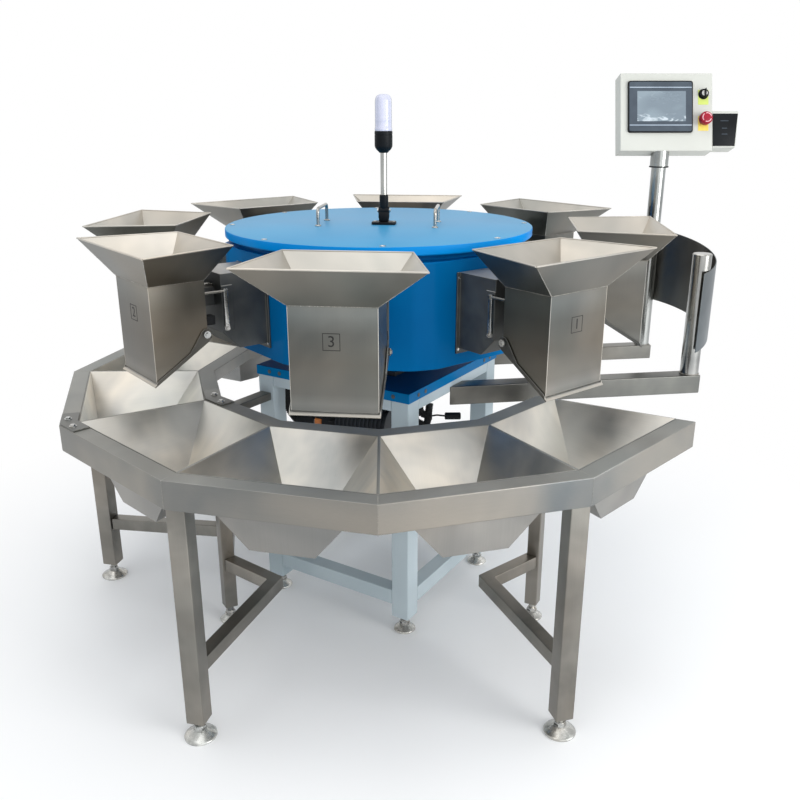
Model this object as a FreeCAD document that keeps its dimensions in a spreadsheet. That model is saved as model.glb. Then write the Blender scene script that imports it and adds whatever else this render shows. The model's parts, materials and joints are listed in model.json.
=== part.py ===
import FreeCAD, Part
import math
import os
import re
import Sketcher
from FreeCAD import Placement, Rotation, Vector

doc = FreeCAD.newDocument("weight_grading_machine")
sizes = doc.addObject("Spreadsheet::Sheet", "sizes")

# Driving sizes, in millimetres and degrees. Angles in plan are counted from the
# front (-Y) towards +X, and a "reach" is a distance from the drum's axis.
values = {
    # ring table: two modules, each of some sides of a regular polygon
    "ring_sides": 12,
    "ring_radius": 1000,
    "ring_top": 755,
    "rail_width": 50,
    "rail_height": 75,
    "inner_radius": 594,
    "inner_width": 50,
    "inner_height": 40,
    # outlet chutes
    "outlet_level": 560,
    "outlet_setback": 21,
    "outlet_depth": 160,
    "outlet_half": 84,
    "chute_sheet": 3,
    "ridge_gap": 1,
    # legs, feet and braces of the ring table
    "leg_width": 50,
    "leg_inset": 51,
    "leg_clear": 52,
    "inner_leg_width": 40,
    "inner_leg_inset": 30,
    "foot_radius": 43,
    "small_foot_radius": 34,
    "foot_height": 24,
    "bell_top_radius": 13,
    "stem_radius": 9,
    "brace_width": 40,
    "brace_level": 190,
    "apex_inset": 69,
    "apex_angle": 37.5,
    # splice between the two modules, and its tie to the central frame
    "splice_reach": 75,
    "splice_width": 46,
    "splice_plate": 5,
    "tie_width": 40,
    "tie_height": 25,
    # central frame under the drum
    "frame_half": 280,
    "frame_angle": 12,
    "tube_width": 60,
    "lower_rail_width": 50,
    "lower_rail_level": 95,
    "upper_rail_height": 60,
    "cover_top": 800,
    "cover_plate": 3,
    "cover_skirt": 30,
    # drive below the cover and bearing above it
    "gearbox_width": 150,
    "gearbox_height": 120,
    "motor_radius": 52,
    "motor_length": 140,
    "motor_flange_width": 112,
    "motor_flange": 12,
    "bearing_radius": 130,
    "bearing_flange_width": 320,
    "bearing_flange_height": 14,
    "spindle_radius": 40,
    "spindle_height": 60,
    "running_gap": 0.4,
    # drum
    "station_count": 8,
    "rest_angle": -7.2,
    "drum_bottom": 890,
    "drum_top": 1184,
    "drum_flat": 450,
    "drum_corner": 472,
    "drum_sheet": 4,
    "drum_floor_plate": 8,
    "neck_radius": 436,
    "neck_height": 18,
    "lid_radius": 470,
    "lid_height": 25,
    "handle_spread": 178,
    "handle_length": 140,
    "handle_height": 52,
    "handle_radius": 5,
    # signal lamp on the lid
    "lamp_shift": 15,
    "lamp_plate_width": 74,
    "lamp_plate_depth": 50,
    "lamp_plate_height": 8,
    "lamp_fork_width": 32,
    "lamp_fork_depth": 26,
    "lamp_fork_height": 52,
    "lamp_tube_radius": 10,
    "lamp_tube_height": 152,
    "lamp_socket_radius": 27,
    "lamp_socket_height": 63,
    "lamp_dome_radius": 26,
    "lamp_dome_height": 104,
    "lamp_dome_crown": 14,
    # weighing brackets between drum and hoppers
    "flange_plate": 6,
    "flange_width": 170,
    "flange_bottom": 925,
    "bracket_width": 150,
    "bracket_bottom": 940,
    "bracket_top": 1150,
    "bracket_chamfer": 48,
    "hanger_length": 60,
    "hanger_width": 64,
    "hanger_height": 50,
    "hanger_level": 1060,
    "link_level": 1055,
    "link_length": 102,
    "link_width": 12,
    "link_plate": 5,
    "link_standoff": 5,
    "link_inset": 8,
    "link_seat": 3,
    "seat_width": 33,
    "seat_height": 126,
    "buffer_size": 25,
    "buffer_level": 1024,
    # hoppers
    "mouth_level": 1236,
    "throat_level": 1145,
    "mouth_inner_reach": 589,
    "mouth_outer_reach": 856,
    "mouth_inner_half": 164,
    "mouth_outer_half": 221.5,
    "throat_inner_reach": 650,
    "throat_outer_reach": 802,
    "throat_half": 104,
    "hopper_sheet": 2.5,
    "tip_level": 895,
    "heel_level": 988,
    # discharge flaps
    "pivot_inset": 6,
    "pivot_lift": 15,
    "flap_sheet": 3,
    "flap_gap": 2,
    "flap_side_gap": 2,
    "lip_reach": 6,
    "lip_drop": 4.5,
    "side_lip": 7,
    "ear_radius": 15,
    "ear_length": 46,
    "ear_rise": 22,
    "pin_radius": 6,
    "pin_clearance": 0.3,
    "pin_head_radius": 10,
    "pin_head": 4,
    # loading bay: two arms, two posts and a bowed guard
    "bay_angle": 97.5,
    "arm_width": 60,
    "screen_arm_width": 50,
    "arm_overrun": 22,
    "arm_cap": 4,
    "post_reach": 985,
    "guard_post_radius": 29,
    "guard_post_height": 382,
    "guard_setback": 171,
    "guard_radius": 278,
    "guard_sheet": 3,
    "guard_height": 246,
    "guard_level": 880,
    "guard_slope": 10.5,
    "guard_front_sweep": 56,
    "guard_rear_sweep": 50,
    "guard_gap": 0.3,
    # control head on the screen post
    "screen_post_radius": 24,
    "head_level": 1422,
    "head_tilt": 18,
    "collar_radius": 30,
    "collar_height": 46,
    "box_width": 309,
    "box_height": 258,
    "box_depth": 65,
    "box_shift": 11,
    "panel_width": 218,
    "panel_height": 172,
    "panel_depth": 8,
    "panel_shift": -11,
    "panel_level": 59,
    "glass_width": 163,
    "glass_height": 100,
    "glass_depth": 1.5,
    "glass_shift": 3,
    "glass_lift": 37,
    "button_shift": 135,
    "stop_level": 101,
    "key_level": 188,
    "plate_width": 35,
    "plate_height": 49,
    "plate_drop": 10,
    "plate_depth": 1,
    "stop_radius": 21,
    "stop_head": 14,
    "stop_neck_radius": 12,
    "stop_neck": 14,
    "stop_travel": 5,
    "key_radius": 14,
    "key_length": 12,
    "key_bow_width": 3,
    "key_bow_length": 14,
    "printer_width": 92,
    "printer_taper": 12,
    "printer_height": 123,
    "printer_depth": 60,
    "printer_level": 11,
}
for row, (name, value) in enumerate(values.items(), start=1):
    sizes.set(f"A{row}", name)
    sizes.set(f"B{row}", str(value))
    sizes.setAlias(f"B{row}", name)
doc.recompute()

words = re.compile(r"\b(" + "|".join(values) + r")\b")
half_side = "180/ring_sides"
full_side = "360/ring_sides"
station_step = "360/station_count"
nodes = []


def formula(text):
    """The expression with each named size pointing at the sheet."""
    return words.sub(r"sizes.\1", str(text))


def number(text):
    return float(sizes.evalExpression(formula(text)))


def bind(item, **expressions):
    for name, text in expressions.items():
        item.setExpression(name, formula(text))
    return item


def place(item, x=0, y=0, z=0, angle=None, axis=Vector(0, 0, 1)):
    item.Placement = Placement(Vector(), Rotation(axis, 10))
    if angle is None:
        item.Placement = Placement()
    else:
        item.setExpression("Placement.Rotation.Angle", formula(angle))
    for name, text in zip("xyz", (x, y, z)):
        item.setExpression(f"Placement.Base.{name}", formula(text))
    return item


def block(name, width, depth, height, x=0, y=0, z=0):
    """A box centred on x and y that stands on level z."""
    item = bind(doc.addObject("Part::Box", name), Length=width, Width=depth, Height=height)
    return place(item, f"{x} - ({width})/2", f"{y} - ({depth})/2", z)


def rod(name, radius, height, x=0, y=0, z=0):
    item = bind(doc.addObject("Part::Cylinder", name), Radius=radius, Height=height)
    return place(item, x, y, z)


def rod_across(name, radius, length, x, y, z):
    """A cylinder whose axis runs along +X from x."""
    return place(rod(name, radius, length), x, y, z, 90, Vector(0, 1, 0))


def rod_forward(name, radius, length, x, y, z):
    """A cylinder whose axis runs along -Y from y."""
    return place(rod(name, radius, length), x, y, z, 90, Vector(1, 0, 0))


def cone(name, lower, upper, height, x=0, y=0, z=0):
    item = bind(doc.addObject("Part::Cone", name), Radius1=lower, Radius2=upper, Height=height)
    return place(item, x, y, z)


def prism(name, sides, radius, height, x=0, y=0, z=0):
    item = bind(doc.addObject("Part::Prism", name), Polygon=sides, Circumradius=radius, Height=height)
    return place(item, x, y, z)


def outline(name, corners, level=0, side=False):
    """A closed polygon: flat at a level, or with side=True in the plane x = level,
    where its corners are (reach, height)."""
    sketch = doc.addObject("Sketcher::SketchObject", name)
    points = [Vector(number(a), number(b), 0) for a, b in corners]
    for start, end in zip(points, points[1:] + points[:1]):
        sketch.addGeometry(Part.LineSegment(start, end), False)
    count = len(points)
    for index in range(count):
        sketch.addConstraint(Sketcher.Constraint("Coincident", index, 2, (index + 1) % count, 1))
    for index, (a, b) in enumerate(corners):
        for kind, text, now in (("DistanceX", a, points[index].x), ("DistanceY", b, points[index].y)):
            place_in_list = sketch.addConstraint(Sketcher.Constraint(kind, -1, 1, index, 1, now))
            sketch.setExpression(f"Constraints[{place_in_list}]", formula(text))
    if side:
        sketch.Placement = Placement(
            Vector(), Rotation(Vector(0, -1, 0), Vector(0, 0, 1), Vector(-1, 0, 0), "XYZ"))
        sketch.setExpression("Placement.Base.x", formula(level))
    else:
        sketch.setExpression("Placement.Base.z", formula(level))
    return sketch


def extrude(name, sketch, length, symmetric=False):
    item = doc.addObject("Part::Extrusion", name)
    item.Base = sketch
    item.DirMode = "Normal"
    item.Solid = True
    item.Symmetric = symmetric
    return bind(item, LengthFwd=length)


def cut(name, base, tool):
    item = doc.addObject("Part::Cut", name)
    item.Base = base
    item.Tool = tool
    return item


def common(name, base, tool):
    item = doc.addObject("Part::Common", name)
    item.Base = base
    item.Tool = tool
    return item


def fuse(name, pieces):
    item = doc.addObject("Part::MultiFuse", name)
    item.Shapes = pieces
    item.Refine = True
    return item


def moved(name, piece, x=0, y=0, z=0, angle=0):
    item = doc.addObject("Part::Compound", name)
    item.Links = [piece]
    return place(item, x, y, z, angle)


def on_circle(name, piece, reach, angle, turn=None):
    """A copy of the piece at a reach and angle, turned about its own axis."""
    return moved(name, piece, f"{reach} * sin({angle})", f"-({reach}) * cos({angle})", 0,
                 angle if turn is None else turn)


def node(name, pieces):
    item = doc.addObject("Part::Compound", name)
    item.Links = pieces
    item.Label = name
    nodes.append(item)
    return item


def around(name, piece, angles):
    """Copies of the piece turned about the drum's axis, as one node."""
    return node(name, [moved(f"{name}_copy", piece, angle=angle) for angle in angles])


def frustum(name, lower, upper):
    """A solid between two four-cornered outlines, with flat ends and its twisted
    sides folded along one diagonal each."""
    item = doc.addObject("Part::Feature", name)
    bottom = [Vector(*corner) for corner in lower]
    top = [Vector(*corner) for corner in upper]
    faces = [Part.Face(Part.makePolygon(bottom + bottom[:1])), Part.Face(Part.makePolygon(top + top[:1]))]
    for index in range(4):
        after = (index + 1) % 4
        low_a, low_b, top_a, top_b = bottom[index], bottom[after], top[index], top[after]
        fold = (low_b, top_a) if index < 2 else (low_a, top_b)
        for corner in (low_a, top_b) if index < 2 else (low_b, top_a):
            faces.append(Part.Face(Part.makePolygon([*fold, corner, fold[0]])))
    solid = Part.makeSolid(Part.makeShell(faces))
    if solid.Volume < 0:
        solid.reverse()
    item.Shape = solid.removeSplitter()
    return item


def strip(points, width):
    """Corners of a band of the given width along a path, mitred at its bends."""
    sides = ([], [])
    for index, point in enumerate(points):
        before = (point - points[index - 1]).normalize() if index else None
        after = (points[index + 1] - point).normalize() if index < len(points) - 1 else None
        before = before or after
        after = after or before
        normal = (Vector(-before.y, before.x) + Vector(-after.y, after.x)).normalize()
        reach = width / 2 / normal.dot(Vector(-before.y, before.x))
        sides[0].append(point + normal * reach)
        sides[1].append(point - normal * reach)
    return sides[0] + sides[1][::-1]


module_sides = 4
front_corners = [f"{step} * {full_side}" for step in range(-module_sides // 2, module_sides // 2 + 1)]
rear_turn = f"-{module_sides} * {full_side}"


# Ring table

def ring_bar(name, radius, width, top, height):
    """Half a ring bar: a band of constant width along the sides of one module."""
    inner = f"({radius} - {width}/cos({half_side}))"
    corners = [(f"{radius} * sin({a})", f"-{radius} * cos({a})") for a in front_corners]
    corners += [(f"{inner} * sin({a})", f"-{inner} * cos({a})") for a in reversed(front_corners)]
    sketch = outline(f"{name}_outline", corners, f"{top} - {height}")
    return extrude(f"{name}_bar", sketch, height)


rail = ring_bar("rail", "ring_radius", "rail_width", "ring_top", "rail_height")
inner_bar = ring_bar("inner", "inner_radius", "inner_width", "ring_top", "inner_height")
node("front_rail", [moved("rail_front", rail)])
node("rear_rail", [moved("rail_rear", rail, angle=rear_turn)])
node("front_inner_bar", [moved("inner_front", inner_bar)])
node("rear_inner_bar", [moved("inner_rear", inner_bar, angle=rear_turn)])


rail_face = f"(ring_radius * cos({half_side}) - rail_width)"
bar_face = f"(inner_radius * cos({half_side}))"
outlet_reach = f"({rail_face} - outlet_setback)"


def chute_section(outer, inner, half, level, inset):
    """Four corners of a chute section whose sides lie along the ring's radii."""
    corners = []
    for reach, sides in ((f"({outer} - {inset})", (-1, 1)), (f"({inner} + {inset})", (1, -1))):
        half_here = number(f"{half} - ({outer} - {reach}) * tan({half_side}) - {inset}/cos({half_side})")
        corners += [(side * half_here, -number(reach), number(level)) for side in sides]
    return corners


def chute_form(name, inset):
    top_half = f"({rail_face} * tan({half_side}) - ridge_gap/2)"
    return frustum(name, chute_section(outlet_reach, f"({outlet_reach} - outlet_depth)", "outlet_half",
                                       "outlet_level", inset),
                   chute_section(rail_face, bar_face, top_half, "ring_top", inset))


chute = cut("chute", chute_form("chute_outer", "0"), chute_form("chute_inner", "chute_sheet"))
front_sides = [f"({step} + 0.5) * {full_side}" for step in range(-module_sides // 2, module_sides // 2)]
rear_sides = [f"{side} + {rear_turn}" for side in front_sides]
around("front_chutes", chute, front_sides)
around("rear_chutes", chute, rear_sides)


# Legs, feet and braces

def levelling_foot(name, radius):
    """A bell-shaped pad under a hexagonal stem."""
    bell = cone(f"{name}_bell", radius, "bell_top_radius", "foot_height")
    stem = prism(f"{name}_stem", 6, "stem_radius", "leg_clear - foot_height", 0, 0, "foot_height")
    return fuse(name, [bell, stem])


leg_reach = "(ring_radius - leg_inset)"
inner_leg_reach = "(inner_radius - inner_leg_inset)"
large_foot = levelling_foot("large_foot", "foot_radius")
small_foot = levelling_foot("small_foot", "small_foot_radius")
leg = block("leg", "leg_width", "leg_width", "ring_top - rail_height - leg_clear", 0, 0, "leg_clear")
inner_leg = block("inner_leg", "inner_leg_width", "inner_leg_width",
                  "ring_top - inner_height - leg_clear", 0, 0, "leg_clear")

# Each module stands on two outer legs at its second and fourth corners, squared
# to its middle sides, and on inner legs at its ends; both modules share one.
leg_places = [(f"{side} * {full_side} + {turn}", f"{side} * {half_side} + {turn}")
              for turn in ("0", rear_turn) for side in (-1, 1)]
inner_leg_angles = [f"2 * {full_side}", f"-2 * {full_side}", f"-2 * {full_side} + {rear_turn}"]
table_legs = node("table_legs", [on_circle("leg_copy", leg, leg_reach, angle, turn)
                                 for angle, turn in leg_places]
                  + [on_circle("inner_leg_copy", inner_leg, inner_leg_reach, angle)
                     for angle in inner_leg_angles])
table_feet = [on_circle("foot_copy", large_foot, leg_reach, angle) for angle, turn in leg_places]
table_feet += [on_circle("small_foot_copy", small_foot, inner_leg_reach, angle)
               for angle in inner_leg_angles]


def flat_bar(name, path, width, height, level):
    """A level bar of constant width along a path of points in plan."""
    item = doc.addObject("Part::Feature", name)
    corners = strip(path, number(width))
    band = Part.Face(Part.makePolygon(corners + corners[:1]))
    item.Shape = band.extrude(Vector(0, 0, number(height)))
    item.Placement.Base.z = number(level)
    return item


def polar(reach, angle):
    turn = math.radians(number(angle))
    return Vector(number(reach) * math.sin(turn), -number(reach) * math.cos(turn))


# A level brace runs from each outer leg in to a bend and out to the inner leg.
braces = []
for turn in ("0", rear_turn):
    for side in (-1, 1):
        path = [polar(leg_reach, f"{side} * {full_side} + {turn}"),
                polar("inner_radius - apex_inset", f"{side} * apex_angle + {turn}"),
                polar(inner_leg_reach, f"{side} * 2 * {full_side} + {turn}")]
        band = flat_bar("brace_band", path, "brace_width", "brace_width", "brace_level")
        braces.append(cut("brace", band, table_legs))
node("leg_braces", braces)

splice_angle = f"-2 * {full_side}"


def splice(name, radius, width):
    """A plate bent along both sides of a ring bar where the two modules meet."""
    middle = f"({radius} - {width}/cos({half_side})/2)"
    corner = polar(middle, splice_angle)
    ends = []
    for side in (-1, 1):
        along = polar(middle, f"{splice_angle} + {side} * {full_side}") - corner
        ends.append(corner + along.normalize() * number("splice_reach"))
    return flat_bar(name, [ends[0], corner, ends[1]], "splice_width", "splice_plate", "ring_top")


node("splice_plates", [splice("outer_splice", "ring_radius", "rail_width"),
                       splice("inner_splice", "inner_radius", "inner_width")])

# Central frame: a square cage whose corner at frame_angle points to the front

post_centre = "(frame_half - tube_width/2)"
rail_span = "2 * (frame_half - tube_width)"
frame_turn = "frame_angle - 45"
frame_top = "(cover_top - cover_plate)"
corner_signs = [(-1, -1), (1, -1), (1, 1), (-1, 1)]


def cage(name, pieces):
    return node(name, [moved(f"{name}_set", piece, angle=frame_turn) for piece in pieces])


frame_post = block("frame_post", "tube_width", "tube_width", f"{frame_top} - leg_clear", 0, 0, "leg_clear")
frame_posts = cage("frame_posts", [moved("frame_post_copy", frame_post, f"{x} * {post_centre}",
                                         f"{y} * {post_centre}") for x, y in corner_signs])
frame_feet = [moved("frame_foot_copy", small_foot, f"{x} * {post_centre}", f"{y} * {post_centre}")
              for x, y in corner_signs]
node("levelling_feet", table_feet + [moved("frame_foot", foot, angle=frame_turn) for foot in frame_feet])


def cage_rails(name, width, height, level):
    """Four level rails between the posts, flush with their outer faces."""
    bar = block(f"{name}_bar", rail_span, width, height, 0, f"-(frame_half - {width}/2)", level)
    return [moved(f"{name}_side", bar, angle=90 * side) for side in range(4)]


cage("frame_rails", cage_rails("lower_rail", "lower_rail_width", "lower_rail_width", "lower_rail_level")
     + cage_rails("upper_rail", "tube_width", "upper_rail_height", f"{frame_top} - upper_rail_height"))

cover_width = "2 * (frame_half + cover_plate)"
cover_block = block("cover_block", cover_width, cover_width, "cover_skirt", 0, 0, "cover_top - cover_skirt")
cover_hollow = block("cover_hollow", "2 * frame_half", "2 * frame_half", "cover_skirt - cover_plate", 0, 0,
                     "cover_top - cover_skirt")
cage("base_cover", [cut("cover_tray", cover_block, cover_hollow)])

gearbox_level = f"({frame_top} - gearbox_height)"
motor_level = f"({gearbox_level} + gearbox_height/2)"
gearbox = block("gearbox_case", "gearbox_width", "gearbox_width", "gearbox_height", 0, 0, gearbox_level)
motor = rod_forward("motor_body", "motor_radius", "motor_length", 0, "-gearbox_width/2", motor_level)
motor_flange = block("motor_flange_plate", "motor_flange_width", "motor_flange", "motor_flange_width", 0,
                     "-(gearbox_width + motor_flange)/2", f"{motor_level} - motor_flange_width/2")
cage("drive_unit", [fuse("drive_set", [gearbox, motor, motor_flange])])

bearing_flange = block("bearing_flange", "bearing_flange_width", "bearing_flange_width",
                       "bearing_flange_height", 0, 0, "cover_top")
bearing_housing = rod("bearing_housing", "bearing_radius", "drum_bottom - running_gap - cover_top", 0, 0,
                      "cover_top")
spindle = rod("spindle", "spindle_radius", "spindle_height", 0, 0, "drum_bottom - running_gap")
cage("bearing_post", [fuse("bearing_set", [bearing_flange, bearing_housing, spindle])])

# Tie under the ring table's splice to the nearest post of the frame
tie_path = [polar(f"inner_radius - inner_width/cos({half_side})/2", splice_angle),
            polar(f"{post_centre} * sqrt(2)", "frame_angle - 90")]
tie_stock = flat_bar("tie_stock", tie_path, "tie_width", "tie_height",
                     "ring_top - inner_height - tie_height")
tie_ends = doc.addObject("Part::Compound", "tie_ends")
tie_ends.Links = [table_legs, frame_posts]
node("tie_bar", [cut("tie_cut", tie_stock, tie_ends)])


# Loading bay

frame_space = block("frame_space", "2 * frame_half", "2 * frame_half", "ring_top")
guard_centre = "(post_reach - guard_setback)"
arm_end = "(post_reach + arm_overrun)"
bay_posts = {}
for name, radius, side in (("guard", "guard_post_radius", -1), ("screen", "screen_post_radius", 1)):
    offset = f"sqrt((guard_radius - guard_gap - {radius})^2 - guard_setback^2)"
    bay_posts[name] = f"({side} * {offset})"


def bay(name, pieces):
    return node(name, [moved(f"{name}_set", piece, angle="bay_angle") for piece in pieces])


def arm(name, width, offset):
    level = f"ring_top - {width}"
    bar = block(f"{name}_bar", width, arm_end, width, offset, f"-{arm_end}/2", level)
    bay_space = moved(f"{name}_frame_space", frame_space, angle=f"{frame_turn} - bay_angle")
    cap = block(f"{name}_cap", width, "arm_cap", width, offset, f"-({arm_end} + arm_cap/2)", level)
    return fuse(name, [cut(f"{name}_cut", bar, bay_space), cap])


bay("bay_arms", [arm("guard_arm", "arm_width", bay_posts["guard"]),
                 arm("screen_arm", "screen_arm_width", bay_posts["screen"])])
bay("guard_post", [rod("guard_post_rod", "guard_post_radius", "guard_post_height", bay_posts["guard"],
                       "-post_reach", "ring_top")])

# The guard is a bowed sheet around both posts, rising towards the screen post.
guard_span = "guard_height * 3"


def guard_sector(name, radius):
    item = bind(doc.addObject("Part::Cylinder", name), Radius=radius, Height=guard_span,
                Angle="guard_front_sweep + guard_rear_sweep")
    return place(item, 0, f"-{guard_centre}", f"guard_level + guard_height/2 - {guard_span}/2",
                 "-90 - guard_front_sweep")


guard_band = cut("guard_band", guard_sector("guard_outer", "guard_radius + guard_sheet"),
                 guard_sector("guard_inner", "guard_radius"))
guard_slab = bind(doc.addObject("Part::Box", "guard_slab"), Length="guard_radius * 4",
                  Width="guard_radius * 4", Height="guard_height")
place(guard_slab, "-2 * guard_radius * cos(guard_slope)", f"-{guard_centre} - 2 * guard_radius",
      "guard_level - 2 * guard_radius * sin(guard_slope)", "0 - guard_slope", Vector(0, 1, 0))
bay("guard_sheet", [common("guard_strip", guard_band, guard_slab)])


# Control head, modelled upright about the top of its post and then tilted back

post_x = f"(post_reach * sin(bay_angle) + {bay_posts['screen']} * cos(bay_angle))"
post_y = f"(-post_reach * cos(bay_angle) + {bay_posts['screen']} * sin(bay_angle))"


def head(name, pieces):
    item = doc.addObject("Part::Compound", f"{name}_tilt")
    item.Links = pieces
    place(item, 0, 0, "head_level", "0 - head_tilt", Vector(1, 0, 0))
    return moved(f"{name}_head", item, post_x, post_y)


box_face = "-box_depth/2"
panel_face = f"({box_face} - panel_depth)"
panel_middle = "(panel_level + panel_height/2)"
glass_level = "(panel_level + glass_lift)"

control_case = block("control_case", "box_width", "box_depth", "box_height", "box_shift", 0, 0)
panel_block = block("panel_block", "panel_width", "panel_depth", "panel_height", "panel_shift",
                    f"{box_face} - panel_depth/2", "panel_level")
glass_recess, glass = (block(name, "glass_width", "glass_depth", "glass_height", "panel_shift + glass_shift",
                             f"{panel_face} + glass_depth/2", glass_level)
                       for name in ("glass_recess", "screen_pane"))
node("screen_panel", [head("panel", [cut("panel_bezel", panel_block, glass_recess)])])
node("screen_glass", [head("glass", [glass])])

button_face = f"({box_face} - plate_depth)"
plates = [block("button_plate", "plate_width", "plate_depth", "plate_height", "button_shift",
                f"{box_face} - plate_depth/2", f"{level} - plate_drop - plate_height/2")
          for level in ("stop_level", "key_level")]
# The stop button's stem slides in a blind bore.
stop_bore = rod_forward("stop_bore", "stop_neck_radius + pin_clearance", "plate_depth + stop_travel + 1",
                        "button_shift", f"{box_face} + stop_travel + 1", "stop_level")
control_set = fuse("control_case_set", [control_case, *plates])
control_head = head("control_case", [cut("control_bored", control_set, stop_bore)])
node("control_box", [control_head])
stop_stem = rod_forward("stop_stem", "stop_neck_radius", "stop_neck", "button_shift", button_face,
                        "stop_level")
stop_cap = rod_forward("stop_cap", "stop_radius", "stop_head", "button_shift",
                       f"{button_face} - stop_neck", "stop_level")
node("stop_button", [head("stop", [fuse("stop_mushroom", [stop_stem, stop_cap])])])
key_barrel = rod_forward("key_barrel", "key_radius", "key_length", "button_shift",
                         f"{button_face} - running_gap", "key_level")
key_bow = block("key_bow", "key_bow_width", "key_bow_length", "2 * key_radius - 4", "button_shift",
                f"{button_face} - running_gap - key_length - key_bow_length/2", "key_level - key_radius + 2")
node("key_switch", [head("key", [fuse("key_set", [key_barrel, key_bow])])])
printer = bind(doc.addObject("Part::Wedge", "printer_case"), Xmin=0, Xmax="printer_width - printer_taper",
               Ymin=0, Ymax="printer_height", Zmin=0, Zmax="printer_depth",
               X2min=0, X2max="printer_width", Z2min=0, Z2max="printer_depth")
place(printer, "box_shift + box_width/2", "printer_depth/2", "printer_level", 90, Vector(1, 0, 0))
node("label_printer", [head("printer", [printer])])

screen_rod = rod("screen_rod", "screen_post_radius", "head_level - collar_height - ring_top", post_x,
                 post_y, "ring_top")
collar_stock = rod("collar_stock", "collar_radius", "collar_height + collar_radius * sin(head_tilt)", post_x,
                   post_y, "head_level - collar_height")
screen_tube = fuse("screen_post_set", [screen_rod, collar_stock])
node("screen_post", [cut("screen_post_cut", screen_tube, control_head)])


# Rotor: everything on the drum, built with station 1 to the front

def rotor(name, pieces):
    return node(name, [moved(f"{name}_set", piece, angle="rest_angle") for piece in pieces])


def each_station(name, piece):
    return node(name, [moved(f"{name}_copy", piece, angle=f"rest_angle + {index} * {station_step}")
                       for index in range(int(number("station_count")))])


def octagon(name, flat, corner, height, level):
    """The drum's section: one flat side to each station, its corners rounded off."""
    sides = prism(f"{name}_prism", "station_count", f"({flat})/cos(180/station_count)", height)
    place(sides, 0, 0, level, "180/station_count + 90")
    return common(name, sides, rod(f"{name}_round", corner, height, 0, 0, level))


drum_height = "(drum_top - drum_bottom)"
drum_outer = octagon("drum_outer", "drum_flat", "drum_corner", drum_height, "drum_bottom")
drum_inner = octagon("drum_inner", "drum_flat - drum_sheet", "drum_corner - drum_sheet",
                     f"{drum_height} - drum_sheet", "drum_bottom")
drum_neck = rod("drum_neck", "neck_radius", "neck_height", 0, 0, "drum_top")
floor_plate = octagon("floor_octagon", "drum_flat - drum_sheet", "drum_corner - drum_sheet",
                      "drum_floor_plate", "drum_bottom")
floor_bore = rod("floor_bore", "spindle_radius + running_gap", "drum_floor_plate", 0, 0, "drum_bottom")
drum_case = cut("drum_case", drum_outer, drum_inner)
drum_set = fuse("drum_set", [drum_case, drum_neck, floor_plate])
rotor("drum_shell", [cut("drum_bored", drum_set, floor_bore)])
lid_level = "(drum_top + neck_height)"
lid_top = "(drum_top + neck_height + lid_height)"
rotor("drum_lid", [rod("lid_disc", "lid_radius", "lid_height", 0, 0, lid_level)])


def handle(name, x):
    """A round bar on two legs that stand on the lid, its grip along Y."""
    posts = [rod(f"{name}_leg", "handle_radius", "handle_height", x, f"{side} * handle_length/2", lid_top)
             for side in (-1, 1)]
    grip = rod_forward(f"{name}_grip", "handle_radius", "handle_length", x, "handle_length/2",
                       f"{lid_top} + handle_height - handle_radius * 1.2")
    return fuse(name, posts + [grip])


rotor("lid_handles", [handle("handle_left", "-handle_spread"), handle("handle_right", "handle_spread")])

lamp_base = block("lamp_base_plate", "lamp_plate_width", "lamp_plate_depth", "lamp_plate_height",
                  "lamp_shift", 0, lid_top)
fork_level = f"({lid_top} + lamp_plate_height)"
tube_level = f"({fork_level} + lamp_fork_height)"
socket_level = f"({tube_level} + lamp_tube_height)"
dome_level = f"({socket_level} + lamp_socket_height)"
lamp_fork = block("lamp_fork", "lamp_fork_width", "lamp_fork_depth", "lamp_fork_height", "lamp_shift", 0,
                  fork_level)
lamp_tube = rod("lamp_tube", "lamp_tube_radius", "lamp_tube_height", "lamp_shift", 0, tube_level)
rotor("lamp_stem", [fuse("lamp_stem_set", [lamp_base, lamp_fork, lamp_tube])])
rotor("lamp_socket", [rod("lamp_barrel", "lamp_socket_radius", "lamp_socket_height", "lamp_shift", 0,
                          socket_level)])
dome_wall = rod("dome_wall", "lamp_dome_radius", "lamp_dome_height - lamp_dome_crown", "lamp_shift", 0,
                dome_level)
dome_crown = cone("dome_crown", "lamp_dome_radius", "lamp_dome_radius - lamp_dome_crown", "lamp_dome_crown",
                  "lamp_shift", 0, f"{dome_level} + lamp_dome_height - lamp_dome_crown")
rotor("lamp_dome", [fuse("lamp_dome_set", [dome_wall, dome_crown])])

# Weighing brackets: a flange on each flat of the drum, a closed box with a
# chamfered lower edge and seats for its links, and a hanger for the hopper
bracket_reach = "(throat_inner_reach - hanger_length)"
flange = block("flange", "flange_width", "flange_plate", "bracket_top - flange_bottom", 0,
               "-(drum_flat + flange_plate/2)", "flange_bottom")
box_back = "(drum_flat + flange_plate)"
bracket_profile = outline("bracket_profile", [
    (box_back, "bracket_bottom"), (f"{bracket_reach} - bracket_chamfer", "bracket_bottom"),
    (bracket_reach, "bracket_bottom + bracket_chamfer"), (bracket_reach, "bracket_top"),
    (box_back, "bracket_top")], side=True)
bracket_box = extrude("bracket_box", bracket_profile, "bracket_width", symmetric=True)
link_seats = block("link_seats", "bracket_width + 2 * link_seat", "seat_width", "seat_height", 0,
                   f"-({bracket_reach} - seat_width/2)", "link_level - seat_height/2")
hanger = block("hanger", "hanger_width", "hanger_length", "hanger_height", 0,
               "-(throat_inner_reach - hanger_length/2)", "hanger_level")
each_station("weigh_brackets", fuse("weigh_bracket", [flange, bracket_box, link_seats, hanger]))


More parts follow.
